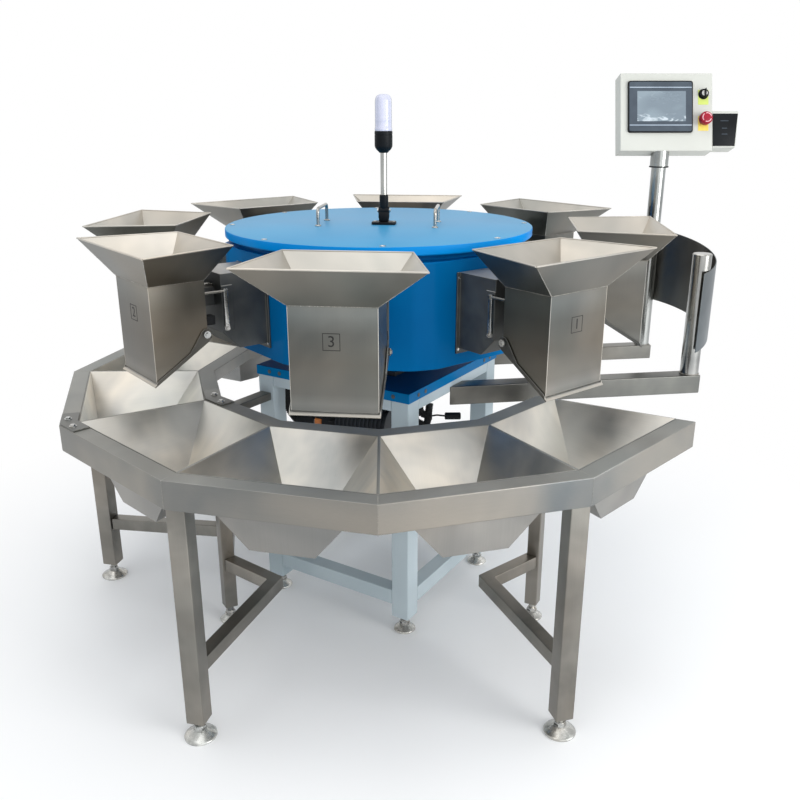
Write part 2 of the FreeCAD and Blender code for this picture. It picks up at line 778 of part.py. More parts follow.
def link_bar(name, side):
    """A flat link on two short blocks at the side of a bracket."""
    seat = "bracket_width/2 + link_seat"
    reach = f"-({bracket_reach} - link_inset)"
    bar = block(f"{name}_bar", "link_plate", "link_width", "link_length + link_width",
                f"{side} * ({seat} + link_standoff + link_plate/2)", reach,
                "link_level - (link_length + link_width)/2")
    blocks = [block(f"{name}_block", "link_standoff", "link_width", "link_width",
                    f"{side} * ({seat} + link_standoff/2)", reach,
                    f"link_level + {end} * link_length/2 - link_width/2") for end in (-1, 1)]
    return fuse(name, [bar] + blocks)


links = doc.addObject("Part::Compound", "link_pair")
links.Links = [link_bar("link_right", 1), link_bar("link_left", -1)]
each_station("link_bars", links)
buffer_block = block("buffer", "buffer_size", "buffer_size", "buffer_size",
                     "throat_half - buffer_size/2", "-(throat_inner_reach - buffer_size/2)", "buffer_level")
each_station("buffer_blocks", buffer_block)


# Hoppers: a flared mouth folded onto a straight throat with a sloping foot

def section(inner_reach, outer_reach, inner_half, outer_half, level, inset):
    near = number(f"{inner_reach} + {inset}")
    far = number(f"{outer_reach} - {inset}")
    near_half = number(f"{inner_half} - {inset}")
    far_half = number(f"{outer_half} - {inset}")
    height = number(level)
    return [(-far_half, -far, height), (far_half, -far, height),
            (near_half, -near, height), (-near_half, -near, height)]


def hopper_form(name, inset, foot_drop):
    throat = section("throat_inner_reach", "throat_outer_reach", "throat_half", "throat_half",
                     "throat_level", inset)
    mouth = section("mouth_inner_reach", "mouth_outer_reach", "mouth_inner_half", "mouth_outer_half",
                    "mouth_level", inset)
    flare = frustum(f"{name}_flare", throat, mouth)
    near = f"throat_inner_reach + {inset}"
    far = f"throat_outer_reach - {inset}"
    foot = outline(f"{name}_foot", [(near, "throat_level"), (near, f"heel_level - {foot_drop}"),
                                    (far, f"tip_level - {foot_drop}"), (far, "throat_level")], side=True)
    throat_tube = extrude(f"{name}_throat", foot, f"2 * (throat_half - {inset})", symmetric=True)
    return fuse(name, [flare, throat_tube])


hopper = cut("hopper", hopper_form("hopper_outer", "0", "0"),
             hopper_form("hopper_inner", "hopper_sheet", "hopper_sheet * 4"))
each_station("hoppers", hopper)

pivot_reach = "(throat_inner_reach + pivot_inset)"
pivot_level = "(heel_level + pivot_lift)"
pin_reach = "(flap_side_gap + flap_sheet + pin_clearance)"
pins = doc.addObject("Part::Compound", "pin_pair")
pin_set = []
for side in (-1, 1):
    start = "throat_half" if side > 0 else f"-(throat_half + {pin_reach})"
    shank = rod_across("pin_shank", "pin_radius", pin_reach, start, f"-{pivot_reach}", pivot_level)
    cap_start = f"throat_half + {pin_reach}" if side > 0 else f"-(throat_half + {pin_reach} + pin_head)"
    cap = place(prism("pin_cap", 6, "pin_head_radius", "pin_head"), cap_start, f"-{pivot_reach}", pivot_level,
                90, Vector(0, 1, 0))
    pin_set.append(fuse("hinge_pin", [shank, cap]))
pins.Links = pin_set
each_station("hinge_pins", pins)


# Flaps: a sheet under the sloping foot, folded up at its sides and down at its lip

foot_slope = "((heel_level - tip_level)/(throat_outer_reach - throat_inner_reach))"


def under_foot(reach):
    """Height of the flap's upper face at a reach."""
    return f"(heel_level - ({reach} - throat_inner_reach) * {foot_slope} - flap_gap)"


flap_outer = "(throat_outer_reach + flap_gap)"
flap_profile = outline("flap_profile", [
    ("throat_inner_reach", under_foot("throat_inner_reach")),
    (flap_outer, under_foot(flap_outer)),
    (f"{flap_outer} + lip_reach", f"{under_foot(flap_outer)} - lip_drop"),
    (f"{flap_outer} + lip_reach - flap_sheet * 0.6",
     f"{under_foot(flap_outer)} - lip_drop - flap_sheet * 0.8"),
    (f"{flap_outer} - flap_sheet * 0.3", f"{under_foot(flap_outer)} - flap_sheet * 1.2"),
    ("throat_inner_reach", f"{under_foot('throat_inner_reach')} - flap_sheet * 1.2")], side=True)
flap_half = "(throat_half + flap_side_gap + flap_sheet)"
flap_tray = extrude("flap_tray", flap_profile, f"2 * {flap_half}", symmetric=True)


def side_lip(name, side):
    """A low fold along the flap's side, with the ear that takes the hinge pin."""
    inner_face = f"{side} * (throat_half + flap_side_gap + flap_sheet/2)"
    toe = f"({pivot_reach} + ear_length)"
    lip_profile = outline(f"{name}_lip_profile", [
        ("throat_inner_reach", f"{under_foot('throat_inner_reach')} - flap_sheet"),
        (flap_outer, f"{under_foot(flap_outer)} - flap_sheet"),
        (flap_outer, f"{under_foot(flap_outer)} + side_lip/2"),
        (f"({flap_outer} - side_lip)", f"{under_foot(f'({flap_outer} - side_lip)')} + side_lip"),
        ("throat_inner_reach", f"{under_foot('throat_inner_reach')} + side_lip")],
        level=inner_face, side=True)
    ear_profile = outline(f"{name}_ear_profile", [
        (f"{pivot_reach} - ear_radius", pivot_level),
        (f"{pivot_reach} - ear_radius", f"{under_foot('throat_inner_reach')} + side_lip"),
        ("throat_inner_reach + 1", f"{under_foot('(throat_inner_reach + 1)')} - flap_sheet"),
        (toe, f"{under_foot(toe)} - flap_sheet"),
        (toe, f"{under_foot(toe)} + ear_rise/2"),
        (f"{toe} - ear_rise * 0.4", f"{under_foot(toe)} + ear_rise"),
        (f"{pivot_reach} + ear_radius * 0.9", f"{pivot_level} + ear_radius * 0.5"),
        (f"{pivot_reach} + ear_radius * 0.4", f"{pivot_level} + ear_radius * 0.95"),
        (f"{pivot_reach} - ear_radius * 0.4", f"{pivot_level} + ear_radius * 0.95"),
        (f"{pivot_reach} - ear_radius * 0.9", f"{pivot_level} + ear_radius * 0.5")],
        level=inner_face, side=True)
    lip = extrude(f"{name}_lip", lip_profile, "flap_sheet", symmetric=True)
    plate = extrude(f"{name}_ear", ear_profile, "flap_sheet", symmetric=True)
    return fuse(name, [lip, plate])


flap_bore = rod_across("flap_bore", "pin_radius + pin_clearance", f"2 * {flap_half} + 2", f"-{flap_half} - 1",
                       f"-{pivot_reach}", pivot_level)
flap_set = fuse("flap_set", [flap_tray, side_lip("lip_right", 1), side_lip("lip_left", -1)])
flap = cut("flap", flap_set, flap_bore)
for index in range(int(number("station_count"))):
    node(f"flap_{index + 1}", [moved(f"flap_copy_{index + 1}", flap,
                                     angle=f"rest_angle + {index} * {station_step}")])


doc.recompute()
for item in doc.Objects:
    if "Invalid" in item.State or "Error" in item.State:
        raise RuntimeError(f"{item.Name} ({item.Label}) failed: {item.State}")
os.makedirs("parts", exist_ok=True)
for item in nodes:
    shape = item.Shape
    if shape.isNull() or not shape.isValid():
        raise RuntimeError(f"{item.Label} has no valid shape")
    shape.exportStep(f"parts/{item.Label}.step")
    print(f"{item.Label}: {len(shape.Solids)} solids, {shape.Volume / 1e6:.2f} litres")
print(len(nodes), "nodes")
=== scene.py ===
import json
import math
import bmesh
import bpy
from mathutils import Matrix, Vector


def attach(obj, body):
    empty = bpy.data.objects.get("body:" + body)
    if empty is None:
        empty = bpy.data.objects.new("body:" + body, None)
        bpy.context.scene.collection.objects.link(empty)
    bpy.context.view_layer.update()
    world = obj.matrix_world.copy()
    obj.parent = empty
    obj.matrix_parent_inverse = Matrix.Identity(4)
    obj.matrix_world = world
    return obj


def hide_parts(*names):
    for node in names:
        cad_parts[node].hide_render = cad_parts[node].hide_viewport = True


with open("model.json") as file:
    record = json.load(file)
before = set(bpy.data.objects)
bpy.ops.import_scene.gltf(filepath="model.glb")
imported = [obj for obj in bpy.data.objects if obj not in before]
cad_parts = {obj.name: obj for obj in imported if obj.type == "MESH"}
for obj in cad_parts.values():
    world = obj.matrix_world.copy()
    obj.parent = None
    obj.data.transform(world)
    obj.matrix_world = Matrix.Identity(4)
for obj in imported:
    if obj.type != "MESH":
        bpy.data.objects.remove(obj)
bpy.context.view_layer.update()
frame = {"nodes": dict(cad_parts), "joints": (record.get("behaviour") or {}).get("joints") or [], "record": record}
nodes = frame["nodes"]
joints = {joint["name"]: joint for joint in frame["joints"]}
bodyOf = {node: body for body, members in frame["record"]["behaviour"]["bodies"].items() for node in members}
print("frame loaded:", len(nodes), "nodes")


# node wiring, for materials and for geometry

class Wire:
    # one socket, with maths on it
    def __init__(self, wiring, socket):
        self.wiring = wiring
        self.socket = socket

    def maths(self, kind, a, b=None):
        values = {0: a} if b is None else {0: a, 1: b}
        return self.wiring.add("ShaderNodeMath", values, {"operation": kind})

    def __rsub__(self, other):
        return self.maths("SUBTRACT", other, self)

    def within(self, low, high):
        # 0 below low, 1 above high and a straight rise between
        return self.wiring.add("ShaderNodeMapRange", {0: self, 1: low, 2: high})


operators = {"add": "ADD", "radd": "ADD", "mul": "MULTIPLY", "rmul": "MULTIPLY", "sub": "SUBTRACT",
             "truediv": "DIVIDE", "pow": "POWER"}
for name, kind in operators.items():
    setattr(Wire, f"__{name}__", lambda self, other, kind=kind: self.maths(kind, self, other))


class Wiring:
    family = "ShaderNode"

    def __init__(self, tree):
        self.tree = tree

    def add(self, kind, values=None, settings=None, out=0):
        # a kind without "Node" in it is one of the tree's own
        node = self.tree.nodes.new(kind if "Node" in kind else self.family + kind)
        for key, value in (settings or {}).items():
            if key == "stops":
                ramp = node.color_ramp
                while len(ramp.elements) < len(value):
                    ramp.elements.new(0.5)
                for element, (place, colour) in zip(ramp.elements, value):
                    element.position = place
                    element.color = colour if len(colour) == 4 else (*colour, 1)
            else:
                setattr(node, key, value)
        for key, value in (values or {}).items():
            for part in value if isinstance(value, list) else [value]:
                if isinstance(part, Wire):
                    self.tree.links.new(part.socket, node.inputs[key])
                else:
                    node.inputs[key].default_value = part
        return Wire(self, node.outputs[out])


class Finish(Wiring):
    def __init__(self, name):
        self.material = bpy.data.materials.new(name)
        self.material.use_nodes = True
        super().__init__(self.material.node_tree)
        self.tree.nodes.clear()
        self.output = self.tree.nodes.new("ShaderNodeOutputMaterial")

    def place(self, scale=(1, 1, 1), shift=(0, 0, 0)):
        coords = self.add("TexCoord", out="Object")
        return self.add("Mapping", {"Vector": coords, "Location": shift, "Scale": scale})

    def split(self):
        coords = self.add("TexCoord", out="Object")
        node = self.add("SeparateXYZ", {0: coords}).socket.node
        return [Wire(self, output) for output in node.outputs]

    def noise(self, vector, scale, detail=3.0, roughness=0.5, distortion=0.0):
        return self.add("TexNoise", {
            "Vector": vector, "Scale": scale, "Detail": detail, "Roughness": roughness,
            "Distortion": distortion})

    def ramp(self, factor, stops):
        return self.add("ValToRGB", {"Fac": factor}, {"stops": stops})

    def blend(self, factor, a, b, kind="MIX"):
        return self.add("Mix", {0: factor, 6: a, 7: b}, {"data_type": "RGBA", "blend_type": kind}, out=2)

    def bump(self, height, strength, distance):
        return self.add("Bump", {"Height": height, "Strength": strength, "Distance": distance})

    def surface(self, wire):
        self.tree.links.new(wire.socket, self.output.inputs["Surface"])
        return self.material

    def shader(self, **values):
        named = {key.replace("_", " "): value for key, value in values.items()}
        return self.surface(self.add("BsdfPrincipled", named))


def srgb(red, green, blue):
    # a colour as it is seen, from 0 to 255
    return tuple(((c / 255 + 0.055) / 1.055) ** 2.4 if c > 10 else c / 255 / 12.92
                 for c in (red, green, blue)) + (1.0,)


# finishes: casts multiply the steel in places; the rest are scales and depths

casts = {"warm": (1.0, 0.9, 0.78, 1), "cool": (0.82, 0.95, 1.0, 1)}
paint = {"clouds": 2.5, "fine": 220.0, "cloudy": 0.12, "grainy": 0.0, "depth": 0.06, "distance": 0.0006}
plastic = {"clouds": 14.0, "fine": 600.0, "cloudy": 0.08, "grainy": 0.1, "depth": 0.12, "distance": 0.0003}
lens = {"centre": (0.0149, -0.0019), "flutes": 24, "crown": (1.590, 1.604)}
creaseLevels = (1.536, 1.552)


def steelFinish(name, dark, light, grain, roughness=0.34, streak=0.06, warmth=0.4, coolness=0.3, ringed=False,
                cloudScale=3.0, metal=1.0, lightBands=None):
    # brushed stainless sheet: fine lines one way, soft clouds, a warm and a cool cast in places
    f = Finish(name)
    if ringed:
        x, y, z = f.split()
        reach = (x * x + y * y) ** 0.5
        angle = x.maths("ARCTAN2", x, y)
        lined = f.add("CombineXYZ", {0: angle * grain[0], 1: reach * grain[1], 2: z * grain[2]})
    else:
        lined = f.place(scale=grain)
    lines = f.noise(lined, 1.0, detail=4.0, roughness=0.65)
    clouds = f.noise(f.place(), cloudScale, detail=3.0, roughness=0.55, distortion=0.4)
    tint = f.noise(f.place(shift=(3.1, 1.7, 0.4)), cloudScale * 0.7, detail=2.0)
    body = f.ramp(clouds, [(0.34, dark), (0.66, light)])
    warm = f.ramp(tint, [(0.5, (0, 0, 0)), (0.72, (warmth,) * 3)])
    cool = f.ramp(tint, [(0.28, (coolness,) * 3), (0.5, (0, 0, 0))])
    body = f.blend(warm, body, f.blend(1.0, body, casts["warm"], "MULTIPLY"))
    body = f.blend(cool, body, f.blend(1.0, body, casts["cool"], "MULTIPLY"))
    streaks = f.ramp(lines, [(0.3, (1 - streak,) * 3), (0.7, (1.0, 1.0, 1.0))])
    body = f.blend(1.0, body, streaks, "MULTIPLY")
    # painted light: bands of highlight and shade multiplied in along the height, where given
    if lightBands:
        low, high, stops = lightBands
        body = f.blend(1.0, body, f.ramp(f.split()[2].within(low, high), stops), "MULTIPLY")
    return f.shader(
        Base_Color=body, Metallic=metal, Roughness=lines * 0.14 + clouds * 0.2 + (roughness - 0.17),
        Normal=f.bump(lines, 0.1, 0.0004))


def coatFinish(name, dark, light, coat, roughness, gloss):
    # paint or moulded plastic: faint clouds and a fine grain
    f = Finish(name)
    clouds = f.noise(f.place(), coat["clouds"])
    fine = f.noise(f.place(), coat["fine"], detail=2.0)
    uneven = clouds * coat["cloudy"] + fine * coat["grainy"]
    return f.shader(
        Base_Color=f.ramp(clouds, [(0.35, dark), (0.65, light)]), Specular_IOR_Level=gloss,
        Roughness=uneven + (roughness - (coat["cloudy"] + coat["grainy"]) / 2),
        Normal=f.bump(fine, coat["depth"], coat["distance"]))


def lensFinish(name, core, shade, rim):
    # a clear lens around a pale core: painted shade makes the wall grey where it is seen edge on and over the crown,
    # and it carries fine flutes
    f = Finish(name)
    x, y, z = f.split()
    angle = x.maths("ARCTAN2", x - lens["centre"][0], y - lens["centre"][1])
    flutes = angle.maths("SINE", angle * lens["flutes"])
    edge = f.add("LayerWeight", {"Blend": 0.5}, out="Facing")
    body = f.ramp(edge, [(0.0, core), (0.35, shade), (0.5, core), (0.6, shade), (0.8, rim)])
    # painted shade over the crown
    body = f.blend(z.within(*lens["crown"]), body, shade)
    return f.shader(Base_Color=body, Roughness=edge * 0.1 + 0.2, Coat_Weight=0.3,
                    Normal=f.bump(flutes, 0.05, 0.0004))


def filmFinish(name, colour, shade, glare):
    # the protective film on the display: a painted sheen, and folds near the lower edge that catch the light as painted
    # glare
    f = Finish(name)
    sheen = f.noise(f.place(scale=(9, 1, 9)), 1.0, detail=1.0, distortion=0.6)
    folds = f.noise(f.place(scale=(26, 1, 60)), 1.0, detail=2.0, distortion=1.6)
    caught = f.ramp(folds, [(0.5, (0, 0, 0)), (0.6, (1, 1, 1))])
    low = 1 - f.split()[2].within(*creaseLevels)
    body = f.blend(low * caught, f.ramp(sheen, [(0.4, shade), (0.6, colour)]), glare)
    return f.shader(Base_Color=body, Roughness=folds * 0.2 + 0.15, Coat_Weight=0.3,
                    Normal=f.bump(folds * low, 0.3, 0.002))


# painted light along a hopper's height, from its foot to the fold of its mouth: a highlight at the foot, shade between,
# and a cool painted reflection below the fold
hopperLightBands = (0.90, 1.145, [(0.0, (0.9, 0.9, 0.9)), (0.05, (0.98, 0.98, 0.98)), (0.15, (0.76, 0.75, 0.73)),
                             (0.45, (0.68, 0.65, 0.61)), (0.74, (0.7, 0.7, 0.69)), (0.92, (0.9, 0.94, 0.96)),
                             (0.985, (0.94, 0.97, 0.98)), (1.0, (0.8, 0.8, 0.78))])
# each steel: a dark and a light colour as seen, and what sets it apart; pairs of one steel for two sides are lit and
# shaded copies, painted light and shade
steels = {
    "rail": ((112, 116, 117), (152, 147, 139), {
        "grain": (5, 420, 420), "ringed": True, "roughness": 0.38, "metal": 0.92, "cloudScale": 2.2}),
    # the rail steel again, lighter, for the upward faces of rails and chutes: painted light on the tops
    "railTop": ((146, 146, 142), (166, 165, 160), {
        "grain": (5, 420, 420), "ringed": True, "roughness": 0.58, "metal": 0.6}),
    # one chute steel in two copies, lighter on the faces towards the hollow and darker on the faces away: painted light
    # and shade
    "chuteIn": ((180, 180, 177), (224, 219, 209), {
        "grain": (300, 7, 7), "ringed": True, "warmth": 0.5, "roughness": 0.33, "cloudScale": 4.5, "streak": 0.04,
        "metal": 0.93}),
    "chuteOut": ((124, 124, 122), (158, 155, 150), {"grain": (300, 7, 7), "ringed": True}),
    # one guard sheet in two copies, warm on the inner faces and cooler and lighter on the outer: painted light and
    # reflection by side
    "guardIn": ((92, 92, 90), (128, 126, 121), {"grain": (300, 7, 7), "ringed": True}),
    "guardOut": ((92, 98, 102), (136, 141, 143), {"grain": (300, 7, 7), "ringed": True}),
    # one hopper steel in two copies, much lighter on the inner faces than on the outer: painted light and shade; hems,
    # corner rods and flap lips take the lighter copy
    "hopperIn": ((172, 169, 162), (206, 200, 190), {
        "grain": (330, 330, 5), "roughness": 0.38, "streak": 0.03, "metal": 0.8}),
    "hopperOut": ((118, 117, 113), (146, 142, 135), {
        "grain": (330, 330, 5), "warmth": 0.6, "coolness": 1.0, "roughness": 0.36, "streak": 0.035, "metal": 0.95,
        "lightBands": hopperLightBands}),
    "flap": ((134, 134, 132), (172, 171, 167), {"grain": (330, 330, 5), "roughness": 0.36, "streak": 0.02}),
    "ear": ((84, 84, 82), (112, 111, 107), {"grain": (300, 300, 12), "roughness": 0.42}),
    "upright": ((120, 117, 111), (152, 147, 139), {"grain": (380, 380, 6), "cloudScale": 5.0}),
    "level": ((100, 100, 97), (131, 129, 123), {"grain": (6, 6, 420), "cloudScale": 4.0}),
    "bracket": ((84, 87, 88), (116, 117, 115), {
        "grain": (300, 300, 12), "cloudScale": 6.0, "roughness": 0.5, "metal": 0.85}),
    # the bracket steel again, lighter, for the upward faces: painted light on the tops
    "bracketTop": ((150, 150, 148), (186, 184, 180), {"grain": (300, 300, 12), "roughness": 0.45, "metal": 0.8}),
    "polished": ((140, 140, 138), (196, 195, 190), {"grain": (300, 300, 3), "roughness": 0.2, "streak": 0.05}),
    "bell": ((158, 158, 154), (224, 223, 218), {
        "grain": (60, 60, 900), "roughness": 0.26, "streak": 0.12, "cloudScale": 25.0, "metal": 0.75}),
    "bright": ((168, 168, 166), (214, 214, 212), {
        "grain": (900, 900, 60), "roughness": 0.24, "streak": 0.05, "cloudScale": 30.0}),
    "weld": ((146, 144, 138), (192, 189, 182), {"grain": (500, 500, 500), "roughness": 0.4, "cloudScale": 40.0}),
}
# and each coat: two colours, a roughness and a gloss
paints = {
    # the lid's blue paint, paler for its top: painted light from above; lidRim is the same paint
    "lidTop": ((60, 140, 184), (72, 150, 192), 0.38, 0.12),
    "lidRim": ((0, 128, 206), (0, 138, 216), 0.32, 0.08),
    "drum": ((0, 98, 160), (0, 112, 176), 0.32, 0.04),
    "cover": ((0, 98, 152), (0, 112, 168), 0.32, 0.06),
    # the cover's blue, darker for its top faces: painted shade under the drum
    "coverTop": ((0, 64, 108), (0, 76, 122), 0.32, 0.05),
    "frame": ((168, 182, 188), (186, 198, 203), 0.45, 0.2),
    "machine": ((34, 37, 41), (52, 56, 60), 0.5, 0.2),
    "case": ((192, 193, 186), (202, 203, 196), 0.4, 0.2),
    "yellow": ((228, 203, 96), (236, 214, 112), 0.4, 0.2),
    "lime": ((196, 210, 112), (208, 221, 130), 0.4, 0.2),
}
plastics = {
    "black": ((12, 14, 17), (22, 25, 28), 0.45, 0.15),
    "slate": ((62, 71, 81), (72, 82, 92), 0.5, 0.3),
    "paleLine": ((160, 173, 188), (178, 190, 203), 0.4, 0.3),
    "red": ((134, 12, 36), (158, 20, 46), 0.4, 0.3),
    "pink": ((232, 180, 188), (240, 196, 202), 0.45, 0.3),
    "rubber": ((18, 19, 20), (30, 31, 33), 0.7, 0.3),
    "nylon": ((206, 205, 200), (226, 225, 220), 0.4, 0.3),
    "copper": ((186, 106, 50), (214, 132, 70), 0.4, 0.3),
    "ink": ((34, 33, 32), (46, 44, 42), 0.6, 0.3),
}
finishes = {
    "lamp": lensFinish("lamp", srgb(206, 206, 224), srgb(188, 190, 208), srgb(134, 138, 144)),
    "film": filmFinish("film", srgb(130, 144, 153), srgb(114, 127, 137), srgb(186, 196, 203)),
}
for name, (dark, light, settings) in steels.items():
    finishes[name] = steelFinish(name, srgb(*dark), srgb(*light), **settings)
for coat, rows in ((paint, paints), (plastic, plastics)):
    for name, (dark, light, roughness, gloss) in rows.items():
        finishes[name] = coatFinish(name, srgb(*dark), srgb(*light), coat, roughness, gloss)
print("finishes made:", len(finishes))


# ways of making a piece

def linked(name, data):
    thing = bpy.data.objects.new(name, data)
    bpy.context.scene.collection.objects.link(thing)
    return thing


def evaluated(holder):
    # an object's result as a plain mesh; its modifiers go with it
    bpy.context.view_layer.update()
    graph = bpy.context.evaluated_depsgraph_get()
    mesh = bpy.data.meshes.new_from_object(holder.evaluated_get(graph), depsgraph=graph)
    bpy.data.objects.remove(holder)
    return mesh


def finished(piece, body, materials):
    piece.data.materials.clear()
    for material in materials:
        piece.data.materials.append(finishes[material])
    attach(piece, body)


def placed(name, mesh, body, material, stands=(), angle=32):
    # a new mesh, smooth up to an angle, as a piece that may stand for CAD nodes
    mesh.polygons.foreach_set("use_smooth", [True] * len(mesh.polygons))
    mesh.set_sharp_from_angle(angle=math.radians(angle))
    mesh.update()
    piece = linked(name, mesh)
    if stands:
        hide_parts(*stands)
    finished(piece, body, [material])
    return piece


def softened(node, materials, width, choose=None):
    # a CAD node's own shape with its edges eased, standing for that node
    mesh = nodes[node].data.copy()
    mesh.name = node + "Eased"
    shape = bmesh.new()
    shape.from_mesh(mesh)
    bmesh.ops.remove_doubles(shape, verts=shape.verts, dist=1e-5)
    bmesh.ops.dissolve_limit(shape, angle_limit=math.radians(0.5), verts=shape.verts, edges=shape.edges)
    for face in shape.faces:
        face.smooth = True
        face.material_index = choose(face.calc_center_median(), face.normal) if choose else 0
    shape.to_mesh(mesh)
    shape.free()
    piece = linked(node + "_eased", mesh)
    eased = piece.modifiers.new("eased", "BEVEL")
    eased.width = width
    eased.segments = 2
    eased.limit_method = "ANGLE"
    eased.angle_limit = math.radians(30)
    smooth = piece.modifiers.new("shading", "WEIGHTED_NORMAL")
    smooth.keep_sharp = True
    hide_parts(node)
    indices = [polygon.material_index for polygon in mesh.polygons]
    finished(piece, bodyOf[node], materials)
    mesh.polygons.foreach_set("material_index", indices)


def around(radius, turn, height=0.0):
    return radius * math.cos(turn), radius * math.sin(turn), height


class Mould:
    # one mesh under construction, in metres; each form is set down by its own matrix
    def __init__(self, at=None):
        self.shape = bmesh.new()
        self.at = at or Matrix()

    def join(self, form, at=None):
        bmesh.ops.remove_doubles(form, verts=form.verts, dist=1e-6)
        bmesh.ops.recalc_face_normals(form, faces=form.faces)
        form.transform(self.at @ (at or Matrix()))
        mesh = bpy.data.meshes.new("form")
        form.to_mesh(mesh)
        form.free()
        self.shape.from_mesh(mesh)
        bpy.data.meshes.remove(mesh)
        return self

    def block(self, low, high, ease=0.0, at=None):
        form = bmesh.new()
        made = bmesh.ops.create_cube(form, size=1.0)
        size = [b - a for a, b in zip(low, high)]
        middle = [(a + b) / 2 for a, b in zip(low, high)]
        bmesh.ops.transform(form, matrix=Matrix.Translation(middle) @ Matrix.Diagonal((*size, 1)), verts=made["verts"])
        if ease:
            bmesh.ops.bevel(form, geom=form.edges, offset=ease, segments=2, profile=0.5, affect="EDGES")
        return self.join(form, at)

    def blocks(self, rows):
        for row in rows:
            self.block(*row)
        return self

    def skin(self, form, rings, steps, at):
        # faces between rings of points, and over the two ends
        for low, high in zip(rings, rings[1:]):
            for i in range(steps):
                corners = [low[i % len(low)], low[(i + 1) % len(low)], high[(i + 1) % len(high)], high[i % len(high)]]
                form.faces.new(list(dict.fromkeys(corners)))
        for ring in (rings[0], rings[-1]):
            if len(ring) > 1:
                form.faces.new(ring)
        return self.join(form, at)

    def lathe(self, profile, steps, at=None):
        # a profile of (radius, height) turned about the z axis, closed at both ends
        form = bmesh.new()
        rings = []
        for radius, height in profile:
            count = steps if radius > 1e-6 else 1
            rings.append([form.verts.new(around(radius, 2 * math.pi * i / count, height)) for i in range(count)])
        return self.skin(form, rings, steps, at)

    def tube(self, points, radius, sides, at=None):
        # a round bar along a path
        form = bmesh.new()
        points = [Vector(point) for point in points]
        rings = []
        across = None
        for before, point, after in zip(points[:1] + points, points, points[1:] + points[-1:]):
            ahead = (after - before).normalized()
            across = across or ahead.orthogonal()
            across = (across - ahead * across.dot(ahead)).normalized()
            turn = Matrix((across, ahead.cross(across), ahead)).transposed()
            rings.append([form.verts.new(point + turn @ Vector(around(radius, 2 * math.pi * i / sides)))
                          for i in range(sides)])
        return self.skin(form, rings, sides, at)

    def plate(self, corners, thickness, ease=0.0, at=None):
        # a flat outline on z = 0, thickened upwards
        form = bmesh.new()
        face = form.faces.new([form.verts.new((x, y, 0)) for x, y in corners])
        top = bmesh.ops.extrude_face_region(form, geom=[face])["geom"]
        bmesh.ops.translate(form, vec=(0, 0, thickness), verts=[v for v in top if isinstance(v, bmesh.types.BMVert)])
        if ease:
            rims = [edge for edge in form.edges if abs(edge.verts[0].co.z - edge.verts[1].co.z) < 1e-7]
            bmesh.ops.bevel(form, geom=rims, offset=ease, segments=2, profile=0.5, affect="EDGES")
        return self.join(form, at)

    def letters(self, text, size, depth, at):
        curve = bpy.data.curves.new("figure", "FONT")
        curve.body = text
        curve.size = size
        curve.extrude = depth
        curve.align_x = "CENTER"
        curve.align_y = "CENTER"
        mesh = evaluated(linked("figure", curve))
        form = bmesh.new()
        form.from_mesh(mesh)
        bpy.data.meshes.remove(mesh)
        return self.join(form, at)

    def piece(self, name, body, material, stands=(), angle=32):
        mesh = bpy.data.meshes.new(name)
        self.shape.to_mesh(mesh)
        self.shape.free()
        return placed(name, mesh, body, material, stands, angle)


def roundedCorners(width, height, radius, steps=5):
    corners = []
    for cx, cy, start in ((1, 1, 0), (-1, 1, 90), (-1, -1, 180), (1, -1, 270)):
        for i in range(steps + 1):
            x, y, z = around(radius, math.radians(start + 90 * i / steps))
            corners.append((cx * (width / 2 - radius) + x, cy * (height / 2 - radius) + y))
    return corners


def bend(points, radius, steps=6):
    # a path with its inner corners rounded
    points = [Vector(point) for point in points]
    path = [points[0]]
    for before, corner, after in zip(points, points[1:], points[2:]):
        a = (before - corner).normalized()
        b = (after - corner).normalized()
        half = a.angle(b) / 2
        start, end = corner + a * radius / math.tan(half), corner + b * radius / math.tan(half)
        centre = corner + (a + b).normalized() * radius / math.sin(half)
        for i in range(steps + 1):
            path.append(centre + (start - centre).lerp(end - centre, i / steps).normalized() * radius)
    return path + [points[-1]]


# geometry trees for what repeats

def spotMesh(spots):
    # points with a facing, for the fastener trees
    mesh = bpy.data.meshes.new("spots")
    mesh.from_pydata([tuple(place) for place, facing in spots], [], [])
    facings = mesh.attributes.new("facing", "FLOAT_VECTOR", "POINT")
    facings.data.foreach_set("vector", [c for place, facing in spots for c in facing])
    return mesh


def lineMesh(lines):
    # open lines of points, for the other trees
    mesh = bpy.data.meshes.new("lines")
    points, edges = [], []
    for line in lines:
        start = len(points)
        points += [tuple(point) for point in line]
        edges += [(start + i, start + i + 1) for i in range(len(line) - 1)]
    mesh.from_pydata(points, edges, [])
    return mesh


